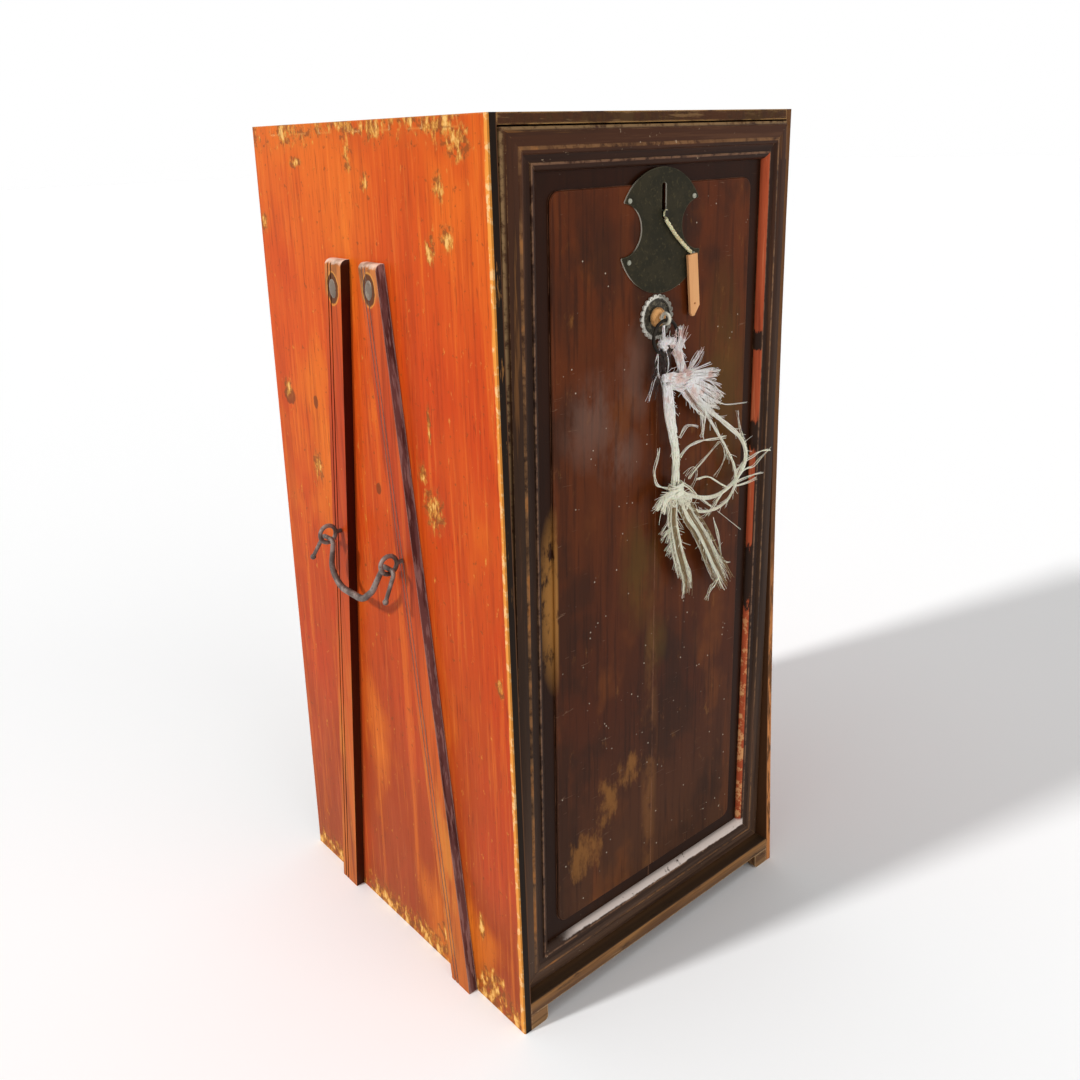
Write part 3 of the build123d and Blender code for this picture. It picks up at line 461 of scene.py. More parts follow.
def panel_lacquer():
    """Red-brown field on a nearly black border, with streaks, haze and fine pale specks; also a painted
    olive reflection, and painted highlights along the panel's edges and beside the field's left edge.
    """
    finish = Finish("panel_lacquer", gloss=0.05, coat=0.05, coat_roughness=0.2)
    finish.blend(
        (0.1, (76, 44, 24)),
        (0.3, (74, 34, 15)),
        (0.5, (90, 42, 15)),
        (0.7, (96, 44, 15)),
        (0.85, (92, 42, 17)),
    )
    streaks = finish.noise((34, 34, 3.2), 6, 0.62, 0.7)
    fine = finish.noise((230, 230, 9), 4, 0.6)
    cloud = finish.noise((9, 9, 6), 4, 0.6)
    smudge = finish.noise((24, 24, 12), 5, 0.62)
    ragged = finish.noise((70, 70, 30), 6, 0.68)
    scratches = finish.noise((34, 34, 300), 2, 0.5, 1.5)
    near = {name: finish.near(finish.x, finish.z, spots) for name, spots in FIELD_PLACES.items()}
    gilt = finish.plus(finish.times(near["gold"], 0.28), ragged)
    finish.layers(
        (streaks, 0.48, 0.66, (50, 24, 12), 0.35),
        (streaks, 0.45, 0.3, (118, 60, 24), 0.4),
        (cloud, 0.5, 0.62, (46, 26, 15), 0.6),
        (cloud, 0.44, 0.32, (120, 64, 22), 0.45),
        (fine, 0.5, 0.68, (34, 17, 9), 0.45),
        (smudge, 0.34, 0.6, (40, 25, 17), 0.7, near["dusk"]),
        (smudge, 0.36, 0.6, (120, 92, 80), 0.5, near["haze"]),
        # Painted olive reflection.
        (smudge, 0.34, 0.6, (84, 62, 20), 0.65, near["olive"]),
        (gilt, 0.6, 0.84, (150, 98, 44), 0.62),
        (smudge, 0.4, 0.55, (132, 84, 42), 0.55, near["seam"]),
        (smudge, 0.46, 0.6, (26, 20, 16), 0.6, near["smudges"]),
        (scratches, 0.71, 0.74, (150, 118, 94), 0.35, finish.span(cloud, 0.45, 0.55)),
    )
    specks = finish.node("ShaderNodeTexVoronoi", Vector=finish.place, Scale=120.0).outputs["Distance"]
    rare = finish.span(finish.plus(finish.noise(30, 2, 0.5), finish.times(finish.z, -0.1)), 0.5, 0.56)
    depth = finish.door_depth()
    beside_field = finish.span(finish.x, -0.1305, -0.1335)
    finish.layers(
        (specks, 0.11, 0.06, (214, 198, 176), 0.8, rare),
        (depth, BORDER_DEPTH - 0.0005, BORDER_DEPTH + 0.0005, (36, 18, 9), 0.9),
        # Painted highlights along the panel's edges, over some wear, and on the border beside the
        # field's left edge.
        (ragged, 0.34, 0.54, (156, 108, 82), 0.6, finish.edges(0.0018)),
        (ragged, 0.36, 0.5, (172, 118, 56), 0.8, near["edge"], beside_field),
        (depth, PANEL_BACK - 0.0005, PANEL_BACK + 0.0005, INNER_BROWN, 1),
    )
    height = finish.plus(finish.times(streaks, 0.5), finish.times(fine, 0.3))
    return finish.end(height, 0.2, finish.times(cloud, 0.7), 0.24, 0.5)


def frame_lacquer():
    """Dark moulded frame, rubbed to gold on its outer edge and its bead, the gold kept to the members
    that face the light, with painted highlights on its arrises, painted sunlight on the right stile's
    nose and a painted sky reflection on the foot rail's nose.
    """
    finish = Finish("frame_lacquer", gloss=0.06, coat=0.06, coat_roughness=0.2)
    finish.blend((0.05, (84, 62, 48)), (0.3, (54, 35, 22)), (0.6, (54, 34, 20)), (0.86, (70, 40, 24)))
    in_from_side = finish.minus(DOOR_HALF, finish.math("ABSOLUTE", finish.x))
    up_from_foot = finish.minus(finish.z, door_foot.z)
    down_from_head = finish.minus(DOOR_TOP, finish.z)
    from_end = finish.least(up_from_foot, down_from_head)
    inward = finish.least(in_from_side, from_end)
    depth = finish.door_depth()
    on_stile = finish.span(finish.minus(from_end, in_from_side), -0.0005, 0.0005)
    along_grain = finish.noise((120, 120, 4), 5, 0.65)
    across_grain = finish.noise((4, 120, 120), 5, 0.65)
    grain = finish.choose(on_stile, across_grain, along_grain)
    patch = finish.noise((16, 16, 10), 5, 0.65)
    ragged = finish.noise(110, 6, 0.7)
    on_left = finish.span(finish.x, -0.14, -0.15)
    on_right = finish.span(finish.x, 0.145, 0.15)
    at_head = finish.span(down_from_head, 0.04, 0.036)
    at_foot = finish.span(up_from_foot, 0.04, 0.036)
    # Gold on the outer band only on the left stile and the head rail, which face the light: rubbed wear
    # and painted light together.
    lit_members = finish.times(finish.most(on_left, at_head), finish.span(finish.z, 0.3, 0.85))
    outer_band = finish.times(lit_members, finish.span(inward, 0.0165, 0.014))
    bead = finish.between(inward, BEAD_START, BEAD_END)
    crest = finish.between(inward, CREST_START, CREST_END, 0.0004)
    finish.layers(
        (grain, 0.46, 0.66, (36, 22, 15), 0.7),
        (grain, 0.44, 0.32, (96, 62, 40), 0.5),
        (inward, COVE_START - 0.00075, COVE_START + 0.00075, (40, 24, 17), 0.6),
        (grain, 0.55, 0.66, (150, 98, 50), 0.5, outer_band),
        # Pale lines on the outer arris, the bead and the crest: painted highlights over rubbed wear,
        # stronger on the left stile's bead, which faces the light.
        (ragged, 0.36, 0.54, (156, 124, 84), 0.75, finish.span(inward, 0.0036, 0.0016)),
        (ragged, 0.36, 0.56, (146, 104, 66), 0.7, bead, finish.span(patch, 0.36, 0.56)),
        (patch, 0.5, 0.6, (176, 112, 54), 0.7, bead, on_left),
        (ragged, 0.36, 0.56, (134, 98, 74), 0.7, crest),
    )

    # Orange-red painted sunlight on the wall of the right stile's nose, which faces the light, with
    # painted highlights and paler low down; it is left dark in painted shadows of the rope at the
    # listed places, with ragged edges, and kept to a narrower band below about 0.56 m.
    rope_shadows = finish.near(finish.x, finish.z, NOSE_ROPE_SHADOWS)
    gap_noise = finish.noise((160, 160, 36), 6, 0.72)
    shaded_gaps = finish.plus(finish.times(rope_shadows, 0.4), finish.times(gap_noise, 0.8))
    narrower_below = finish.times(finish.span(finish.z, 0.59, 0.56), finish.span(inward, 0.0338, 0.0326))
    sunlit_nose = finish.times(
        finish.span(inward, NOSE_START - 0.0004, NOSE_START + 0.0004),
        finish.span(depth, NOSE_DEPTH + 0.0006, NOSE_DEPTH - 0.0006),
        on_right,
        on_stile,
        finish.span(shaded_gaps, 0.66, 0.58),
        finish.minus(1.0, narrower_below),
    )
    finish.cover(sunlit_nose, (184, 82, 46), 0.9)
    finish.layers(
        (grain, 0.5, 0.64, (108, 38, 20), 0.7, sunlit_nose),
        (grain, 0.44, 0.34, (222, 132, 88), 0.5, sunlit_nose),
        (ragged, 0.5, 0.58, (226, 166, 108), 0.85, sunlit_nose, finish.span(finish.z, 0.45, 0.25)),
    )
    # Painted sky reflection, with some wear, along the top of the foot rail's nose.
    lit_edge = finish.plus(inward, finish.times(finish.x, 0.012), finish.times(ragged, 0.005))
    lit_run = finish.times(
        at_foot,
        finish.span(finish.plus(finish.x, finish.times(ragged, 0.02)), -0.13, -0.1),
        finish.span(lit_edge, 0.0338, 0.0352),
        finish.span(finish.plus(ragged, finish.times(patch, 0.4)), 0.92, 0.8),
    )
    finish.cover(lit_run, (226, 210, 200), 0.94)
    finish.layers(
        (finish.noise(190, 5, 0.7), 0.67, 0.7, (196, 170, 140), 0.8, finish.most(at_foot, at_head)),
        (depth, FRAME_BACK - 0.0005, FRAME_BACK + 0.0005, INNER_BROWN, 1),
        (ragged, 0.46, 0.6, (170, 128, 84), 0.5, finish.edges(0.0014)),
    )
    return finish.end(grain, 0.25, ragged, 0.26, 0.5)


def rubbed_wood():
    """Bottom board and feet: rubbed to gold along the exposed front, with painted shade low on the
    front and on the top behind the door, where the top is also dark lacquer.
    """
    finish = Finish("rubbed_wood", gloss=0.2)
    # The dark stop at 0.02 m is painted shade on the lower part of the board's front.
    finish.blend(
        (0.0, (142, 106, 66)), (0.016, (132, 92, 54)), (0.02, (92, 62, 38)), (0.03, (160, 112, 62))
    )
    grain = finish.noise((5, 90, 110), 6, 0.65, 0.4)
    ragged = finish.noise((24, 90, 90), 6, 0.7)
    finish.layers(
        (grain, 0.46, 0.62, (84, 52, 30), 0.7),
        (grain, 0.44, 0.32, (196, 148, 92), 0.5),
        (ragged, 0.56, 0.66, (56, 36, 22), 0.7),
        (ragged, 0.34, 0.5, (214, 176, 128), 0.75, finish.edges(0.003)),
        # Painted shade of the door over dark lacquer on the board's top.
        (finish.z, 0.0295, 0.0302, (40, 29, 21), 0.92, finish.facing(Z, 0.55, 0.9)),
        (finish.y, -0.2, -0.19, (104, 72, 46), 0.8),
    )
    return finish.end(finish.plus(grain, ragged), 0.4, grain, 0.45, 0.7)


# -------- metal, bare wood and fibre
def old_iron(
    name, under, over, stain, worn=(150, 146, 134), metallic=0.45, painted_left_light=0.0, gloss=0.3
):
    """Metal with patina and pits, rubbed at its edges; the share after metallic paints a pale highlight
    on what faces left.
    """
    finish = Finish(name, metallic=metallic, gloss=gloss)
    patina = finish.noise(60, 6, 0.65)
    pits = finish.noise(280, 4, 0.6)
    finish.colour = srgb(*under)
    finish.layers(
        (patina, 0.42, 0.62, over, 1),
        (pits, 0.56, 0.68, stain, 0.7),
        (patina, 0.34, 0.5, worn, 0.8, finish.edges(0.0012, 0.02, 0.2)),
    )
    # Painted highlight on the faces that look left, towards the light.
    if painted_left_light:
        finish.cover(finish.facing(X, -0.5, -0.8), (206, 200, 184), painted_left_light)
    return finish.end(finish.plus(patina, finish.times(pits, 0.6)), 0.5, patina, 0.4, 0.65, 0.0005)


def rosette_tin(centre):
    """Bright beaded rim round a darkened dish, with painted shade on the rim's right side."""
    finish = Finish("rosette_tin", metallic=0.35, gloss=0.3)
    finish.colour = srgb(52, 46, 36)
    across = finish.minus(finish.x, centre.x)
    up = finish.minus(finish.z, centre.z)
    reach = finish.math("SQRT", finish.plus(finish.times(across, across), finish.times(up, up)))
    beads = finish.noise(260, 3, 0.6)
    rim = finish.span(finish.plus(reach, finish.times(beads, 0.003)), 0.0192, 0.0206)
    shaded_right_side = finish.plus(across, finish.times(beads, 0.012))
    finish.layers((beads, 0.5, 0.62, (120, 112, 92), 0.6))
    finish.cover(rim, (226, 222, 210), 0.92)
    finish.layers(
        # Painted shade on the right side of the rim, away from the light.
        (shaded_right_side, 0.004, 0.016, (84, 78, 66), 0.8, rim),
        (beads, 0.56, 0.64, (60, 52, 42), 0.7, rim),
    )
    return finish.end(beads, 0.5, beads, 0.35, 0.6, 0.0005)


def raw_wood(name, pale, dark):
    """Bare wood with upright grain."""
    finish = Finish(name, gloss=0.2)
    grain = finish.noise((34, 34, 2), 6, 0.65, 0.6)
    fine = finish.noise((240, 240, 12), 4, 0.6)
    finish.colour = srgb(*pale)
    finish.layers((grain, 0.38, 0.66, dark, 1), (fine, 0.5, 0.7, dark, 0.4))
    return finish.end(finish.plus(grain, fine), 0.3, grain, 0.55, 0.8)


def fibre(name, low, high, warm, grey):
    """Fibre that is one colour low down, another high up, with warm and grey stains."""
    finish = Finish(name, roughness=0.85, gloss=0.15)
    finish.blend((0.56, low), (0.63, high))
    finish.layers(
        (finish.noise(60, 3, 0.6), 0.5, 0.62, warm, 0.9, finish.span(finish.z, 0.6, 0.64)),
        (finish.noise((1100, 1100, 120), 3, 0.6), 0.52, 0.68, grey, 0.65),
    )
    finish.surface.inputs["Subsurface Weight"].default_value = 0.15
    finish.surface.inputs["Subsurface Scale"].default_value = 0.002
    return finish.end(finish.noise(900, 2, 0.5), 0.3, distance=0.0002)


def dress(nodes, material):
    """Give CAD nodes one finish."""
    for name in nodes:
        slots = frame["nodes"][name].data.materials
        slots.clear()
        slots.append(material)


def nodes_starting(*starts):
    return [name for name in frame["nodes"] if name.startswith(starts)]


rosette_corners = [Vector(corner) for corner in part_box("rosette_rim")]
rosette_centre = (rosette_corners[0] + rosette_corners[1]) / 2
inner_wood = raw_wood("inner_wood", (140, 104, 70), (96, 66, 42))
forged_iron = old_iron(
    "forged_iron", (86, 72, 66), (138, 122, 114), (56, 40, 32), (206, 192, 180), metallic=0.35
)
dark_iron = old_iron(
    "dark_iron", (34, 29, 24), (48, 42, 34), (22, 18, 15), (96, 90, 76), metallic=0.2, gloss=0.15
)
rope_fibre = fibre("rope_fibre", (252, 247, 226), (255, 248, 246), (240, 204, 194), (172, 152, 124))
# Darker fibre: painted shade for the gaps between the tassel's fibres, on fibre with some stain.
shaded_fibre = fibre("shaded_fibre", (158, 136, 102), (176, 148, 132), (150, 112, 96), (96, 78, 56))
# Near-black fibre: dark stain with painted shade.
dark_shaded_fibre = fibre("dark_shaded_fibre", (62, 52, 46), (70, 60, 56), (110, 98, 92), (24, 20, 18))
twine_fibre = fibre("twine_fibre", (226, 216, 176), (226, 216, 176), (206, 190, 144), (150, 134, 96))

dress(nodes_starting("side_board"), orange_lacquer("side_lacquer"))
dress(["top_board"], orange_lacquer("top_lacquer", is_top=True))
dress(nodes_starting("batten"), batten_lacquer())
dress(nodes_starting("door_rail", "door_stile"), frame_lacquer())
dress(nodes_starting("door_panel"), panel_lacquer())
dress(nodes_starting("shelf", "door_stop", "lock_keeper", "lock_cheek", "cleat"), inner_wood)
dress(nodes_starting("back_plank"), raw_wood("back_wood", (128, 88, 56), (88, 56, 34)))
dress(nodes_starting("foot", "bottom_board"), rubbed_wood())
# The lock plate gets a painted highlight on its left-facing sides.
plate_iron = old_iron(
    "plate_iron", (40, 37, 25), (50, 45, 31), (70, 62, 42), (104, 98, 78),
    metallic=0.0, painted_left_light=0.9, gloss=0.08,
)
dress(["lock_plate"], plate_iron)
dress(["lock_plate_nails"], old_iron("nail_iron", (150, 150, 134), (176, 174, 158), (90, 84, 66)))
dress(nodes_starting("handle"), forged_iron)
dress(nodes_starting("bolt_staple", "lock_bolt", "pull_ring"), dark_iron)
dress(
    ["ring_eye"],
    old_iron("eye_iron", (196, 190, 172), (226, 222, 206), (90, 80, 62), (240, 236, 224)),
)
dress(["rosette_rim"], rosette_tin(rosette_centre))
dress(
    ["rosette_dome"],
    old_iron("dome_copper", (186, 128, 74), (214, 160, 100), (110, 66, 36), (232, 190, 132)),
)
dress(["wooden_tag"], raw_wood("tag_wood", (232, 172, 116), (212, 146, 92)))


# -------- nails in the batten heads
NAIL_HALVES, NAIL_SINK = (0.0018, 0.0066, 0.01), 0.0003
outer_face = max(abs(Vector(corner).x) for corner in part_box("batten_left_front"))
nail_shape = bmesh.new()
for side in (-1, 1):
    for y, z in BATTEN_NAILS:
        squash = Matrix.Diagonal((*NAIL_HALVES, 1))
        lean = Matrix.Rotation(math.radians(8 if y < 0 else -6), 4, "X")
        seat = Matrix.Translation((side * (outer_face - NAIL_SINK), y, z))
        bmesh.ops.create_uvsphere(
            nail_shape, u_segments=20, v_segments=10, radius=1, matrix=seat @ lean @ squash
        )
bmesh.ops.recalc_face_normals(nail_shape, faces=nail_shape.faces)
nail_mesh = bpy.data.meshes.new("batten_nails")
nail_shape.to_mesh(nail_mesh)
nail_shape.free()
nail_mesh.polygons.foreach_set("use_smooth", [True] * len(nail_mesh.polygons))
nail_mesh.materials.append(
    old_iron(
        "batten_nail_iron", (112, 98, 86), (158, 144, 128), (66, 50, 38), (196, 184, 168), metallic=0.2
    )
)
batten_nails = add("batten_nails", nail_mesh)
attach(batten_nails, "case")


# -------- rope, in fine fibres
chance = random.Random(11)


def spline_line(route):
    """Points along the smooth line that a route of control points gives."""
    curve = bpy.data.curves.new("route", "CURVE")
    curve.dimensions = "3D"
    curve.resolution_u = 8
    spline = curve.splines.new("NURBS")
    spline.points.add(len(route) - 1)
    for point, place in zip(spline.points, route):
        point.co = (*place, 1)
    spline.order_u = 3
    spline.use_endpoint_u = True
    holder = bpy.data.objects.new("route", curve)
    mesh = bpy.data.meshes.new_from_object(holder)
    line = [vertex.co.copy() for vertex in mesh.vertices]
    bpy.data.objects.remove(holder)
    bpy.data.curves.remove(curve)
    bpy.data.meshes.remove(mesh)
    return line


def tubes(name, lines, material, body, nodes=(), roundness=0):
    """One mesh of round fibres, each a line of places with a radius in millimetres at each."""
    curve = bpy.data.curves.new(name, "CURVE")
    curve.dimensions = "3D"
    curve.bevel_depth = MM
    curve.bevel_resolution = roundness
    curve.use_fill_caps = True
    for places, radii in lines:
        spline = curve.splines.new("POLY")
        spline.points.add(len(places) - 1)
        for point, place, radius in zip(spline.points, places, radii):
            point.co = (*place, 1)
            point.radius = radius
    holder = bpy.data.objects.new(name + "_line", curve)
    piece = add(name, bpy.data.meshes.new_from_object(holder))
    bpy.data.objects.remove(holder)
    bpy.data.curves.remove(curve)
    for face in piece.data.polygons:
        face.use_smooth = True
    piece.data.materials.clear()
    piece.data.materials.append(material)
    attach(piece, body)
    if nodes:
        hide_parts(*nodes)
    return piece


def sideways(line, index):
    """Direction across a line, in the plane of the door."""
    ahead = line[min(index + 1, len(line) - 1)] - line[max(index - 1, 0)]
    return ahead.normalized().cross(door_out).normalized()


def bundle(line, widths, count, radius, depth_share=0.5, twist=0.0, fray=(0.0, 0.0), tip=1.0):
    """Fibres beside each other along a line; widths are its half width at start and end."""
    fibres = []
    last = len(line) - 1
    for _ in range(count):
        angle = chance.uniform(0, math.tau)
        reach = math.sqrt(chance.uniform(0.1, 1))
        wave, ripple = chance.uniform(0, math.tau), chance.uniform(0, math.tau)
        frizz = abs(chance.gauss(0, 0.35))
        loose = (chance.gauss(0, 1), chance.gauss(0, 0.5))
        trim = 1 - chance.uniform(0, 0.12) * (fray[1] > 0)
        places, radii = [], []
        for index in range(int(last * trim) + 1):
            along = index / last
            width = widths[0] + (widths[1] - widths[0]) * along
            turn = angle + twist * along + 0.35 * math.sin(wave + 7 * along)
            loosened = fray[0] * (1 - along) ** 3 + fray[1] * along**3
            shift = width * reach * math.cos(turn) + loosened * loose[0]
            shift += frizz * math.sin(ripple + 23 * along)
            outward = depth_share * width * reach * math.sin(turn) + 0.4 * loosened * loose[1]
            outward += frizz * math.cos(ripple + 19 * along)
            places.append(line[index] + MM * (sideways(line, index) * shift + door_out * outward))
            radii.append(radius * (1 + (tip - 1) * along))
        fibres.append((places, radii))
    return fibres


def locks(line, widths, count, fibres, radius, thin=(1.6, 1.0), fray=2.0, trim=0.25):
    """Locks of fibres that lie side by side along a line and part from each other."""
    made = []
    last = len(line) - 1
    for lock in range(count):
        share = 2 * (lock + 0.5) / count - 1 + chance.uniform(-0.25, 0.25)
        wave, wander = chance.uniform(0, math.tau), chance.uniform(0.5, 1.8)
        lift = chance.uniform(-1.8, 1.8)
        lock_line = []
        for index in range(int(last * (1 - chance.uniform(0, trim))) + 1):
            along = index / last
            width = widths[0] + (widths[1] - widths[0]) * along
            shift = share * width + wander * along * math.sin(wave + 6 * along)
            lock_line.append(line[index] + MM * (sideways(line, index) * shift + door_out * lift))
        twist = chance.uniform(-4, 4)
        made += bundle(lock_line, thin, fibres, radius, 0.8, twist, (0, fray), 0.45)
    return made


def wisp(points, radius=0.55, tip=0.5, depth=ROPE_DEPTH, sway=3.0):
    """One loose fibre through places across and up the door, swaying out of its plane."""
    wave = chance.uniform(0, math.tau)
    route = [
        on_door(x, height, depth + sway * math.sin(wave + 1.3 * index))
        for index, (x, height) in enumerate(points)
    ]
    line = spline_line(route)
    last = max(len(line) - 1, 1)
    return line, [radius * (1 + (tip - 1) * index / last) for index in range(len(line))]


def strand(points, radius, count=4, spread=0.7):
    """A thin strand: a few fibres that keep together through the same places."""
    return [
        wisp(
            [(x + chance.gauss(0, spread), height + chance.gauss(0, spread)) for x, height in points],
            radius * chance.uniform(0.5, 0.8),
            sway=2.0,
        )
        for _ in range(count)
    ]


def hairs(line, width, count, reach):
    """Short stray fibres that stand off a line."""
    made = []
    for _ in range(count):
        index = chance.randrange(1, len(line) - 1)
        across = sideways(line, index)
        side = chance.choice((-1, 1))
        upward = (line[index + 1] - line[index]).normalized() * chance.triangular(-0.8, 3.2, 1.8)
        away = (across * side + upward + door_out * chance.uniform(-0.3, 0.5)).normalized()
        length = MM * reach * chance.uniform(0.4, 1.0)
        begin = line[index] + MM * across * side * width * chance.uniform(0.5, 1.0)
        bend = across * length * chance.gauss(0, 0.12)
        places = spline_line([begin, begin + away * length * 0.5 + bend, begin + away * length])
        made.append((places, [0.3 * (1 - 0.5 * step / len(places)) for step in range(len(places))]))
    return made


def fan(start, reach, angles, count, radius, start_width, bow=0.12, fibres=5):
    """Tufts of fibres that leave one place and open like a brush."""
    made = []
    for _ in range(count):
        angle = math.radians(chance.triangular(*angles))
        length = reach * chance.uniform(0.72, 1.0)
        offset = chance.uniform(-start_width, start_width)
        bend = chance.gauss(0, bow) * length
        step = Vector((math.cos(angle), math.sin(angle)))
        side = Vector((-step.y, step.x))
        begin = Vector(start) + side * offset
        middle = begin + step * length * 0.5 + side * bend
        end = begin + step * length + side * chance.gauss(0, 1.5)
        made += strand([begin, middle, end], radius, fibres, 0.8)
    return made


def ring_turns(centre, half_width, half_depth, heights, radius):
    """Turns of fibre laid round an upright core."""
    turns = []
    for height in heights:
        tilt, slack = chance.uniform(-2.8, 2.8), chance.uniform(0.88, 1.08)
        places = []
        for step in range(25):
            angle = math.tau * step / 24
            places.append(
                on_door(
                    centre + slack * half_width * math.cos(angle),
                    height + tilt * math.cos(angle) + 0.6 * math.sin(3 * angle),
                    ROPE_DEPTH + slack * half_depth * math.sin(angle),
                )
            )
        turns.append((places, [radius] * len(places)))
    return turns


def door_route(points, depth=ROPE_DEPTH):
    return [on_door(x, height, depth) for x, height in points]


def door_line(points, depth=ROPE_DEPTH):
    """Smooth line through places across and up the door."""
    return spline_line(door_route(points, depth))


def rope_piece(name, fibres, nodes=(), material=rope_fibre, body="rope"):
    """One piece of the rope, in place of the plain solids that it stands for."""
    return tubes(name, fibres, material, body, nodes)


strap_route, loop_route = door_route(STRAP_ROUTE), door_route(LOOP_ROUTE)
strap_line, loop_line = spline_line(strap_route), spline_line(loop_route)
strap = rope_piece(
    "strap_fibres", bundle(strap_line, (5.2, 4.4), 84, 0.5, 0.5, 0.8), ["rope_strap"]
)
loop = rope_piece(
    "loop_fibres", bundle(loop_line, (2.2, 1.8), 15, 0.45, 0.8, 9.0), ["rope_loop"]
)

neck_line = door_line([(8, 664), (13, 650), (20, 634), (25, 616)])
band_line = door_line([(-9, 621), (4, 621), (18, 615), (34, 617)], ROPE_DEPTH - 4)
under_line = door_line([(2, 617), (10, 612), (22, 607), (32, 611)], ROPE_DEPTH - 1)
upper_fibres = (
    locks(neck_line[::-1], (5.0, 7.0), 6, 16, 0.45, (2.2, 1.8), 1.5, 0.15)
    + bundle(band_line, (3.6, 6.5), 70, 0.48, 0.45, 1.2)
    + bundle(under_line, (5.5, 5.5), 56, 0.48, 0.9, 1.0)
    + hairs(band_line, 5.0, 24, 10)
    + hairs(neck_line, 6.0, 22, 13)
)
rope_piece("upper_knot_fibres", upper_fibres, ["rope_knot_upper"])

fan_fibres = (
    fan((30, 618), 50, (-16, 6, -5), 17, 0.6, 4, 0.06)
    + fan((30, 611), 64, (-48, -12, -32), 32, 0.6, 5)
    + fan((30, 620), 34, (18, 62, 42), 6, 0.5, 2, 0.12, 3)
    + fan((20, 646), 24, (50, 130, 95), 9, 0.6, 6, 0.12, 4)
    + strand([(32, 618), (50, 617), (66, 614)], 0.5, 2)
    + strand([(60, 588), (84, 578), (104, 573), (127, 571)], 0.5, 2)
)
rope_piece("fan_fibres", fan_fibres, ["rope_fan"])

lower_core = door_line([(16, 510), (16, 498), (17, 484)])
left_flare = door_line([(12, 500), (2, 498), (-6, 492), (-12, 483)], ROPE_DEPTH - 3)
right_flare = door_line([(20, 496), (28, 490), (38, 481)], ROPE_DEPTH - 2)
lower_fibres = (
    bundle(lower_core, (5.0, 9.0), 66, 0.5, 0.6)
    + ring_turns(17, 9.5, 5.4, [506 - 0.75 * turn for turn in range(19)], 0.6)
    + bundle(left_flare, (3.0, 7.0), 48, 0.48, 0.5, fray=(0, 2.5))
    + bundle(right_flare, (5.0, 6.0), 40, 0.48, 0.5, fray=(0, 1.5))
    + hairs(left_flare, 5.0, 26, 14)
    + hairs(right_flare, 5.0, 24, 14)
    + hairs(lower_core, 8.0, 30, 15)
)
rope_piece("lower_knot_fibres", lower_fibres, ["rope_knot_lower"])

left_tail = door_line([(14, 487), (12, 472), (16, 455), (22, 430), (31, 407), (38, 390), (35, 366)])
right_tail = door_line([(28, 484), (38, 466), (53, 448), (68, 424), (82, 400), (95, 380), (108, 358)])
tassel_fibres = (
    locks(left_tail, (7.5, 8.5), 8, 11, 0.4, (1.4, 0.7))
    + locks(right_tail, (8.0, 12.0), 9, 11, 0.4, (1.5, 0.8), trim=0.15)
    + hairs(left_tail[:-14], 6.5, 34, 16)
    + hairs(right_tail[:-12], 6.5, 34, 16)
    + fan((14, 466), 22, (180, 300, 235), 9, 0.5, 6, 0.12, 4)
    + fan((18, 444), 18, (200, 290, 240), 6, 0.5, 5, 0.12, 3)
    + strand([(76, 454), (84, 438), (90, 420), (95, 398), (104, 395)], 0.8, 4)
    + strand([(89, 384), (82, 375), (76, 374), (70, 361)], 0.8, 4)
    + strand([(85, 459), (107, 441), (121, 429)], 0.4, 2, 0.3)
    + strand([(70, 440), (80, 416), (88, 398), (96, 384)], 0.7, 4)
)
rope_piece("tassel_fibres", tassel_fibres, ["rope_tassel"])

bunch = door_line([(24, 611), (36, 597), (50, 583), (64, 572), (80, 559)])
inner = door_line([(56, 577), (73, 557), (87, 537), (101, 518), (111, 502), (112, 490)])
lower_bow = door_line([(115, 490), (108, 475), (92, 465), (76, 463), (58, 465), (40, 473), (26, 482)])
strap_head = door_line([(0, 619), (5, 600), (9, 580), (13, 560)], ROPE_DEPTH + 0.5)
loose_fibres = (
    locks(bunch, (6.5, 4.5), 7, 11, 0.42, (2.0, 1.2), 2.5, 0.3)
    + bundle(inner, (1.7, 1.3), 9, 0.42, 0.8, 5.0)
    + bundle(lower_bow, (1.5, 2.0), 10, 0.42, 0.8, 5.0)
    + bundle(strap_head, (7.2, 4.0), 60, 0.48, 0.4, 0.5)
    + hairs(strap_head, 6.0, 12, 9)
    + hairs(strap_line, 4.5, 7, 10)
    + hairs(bunch, 4.0, 30, 14)
    + hairs(inner, 1.5, 12, 12)
    + hairs(loop_line, 2.0, 24, 12)
    + hairs(lower_bow, 2.0, 20, 12)
)
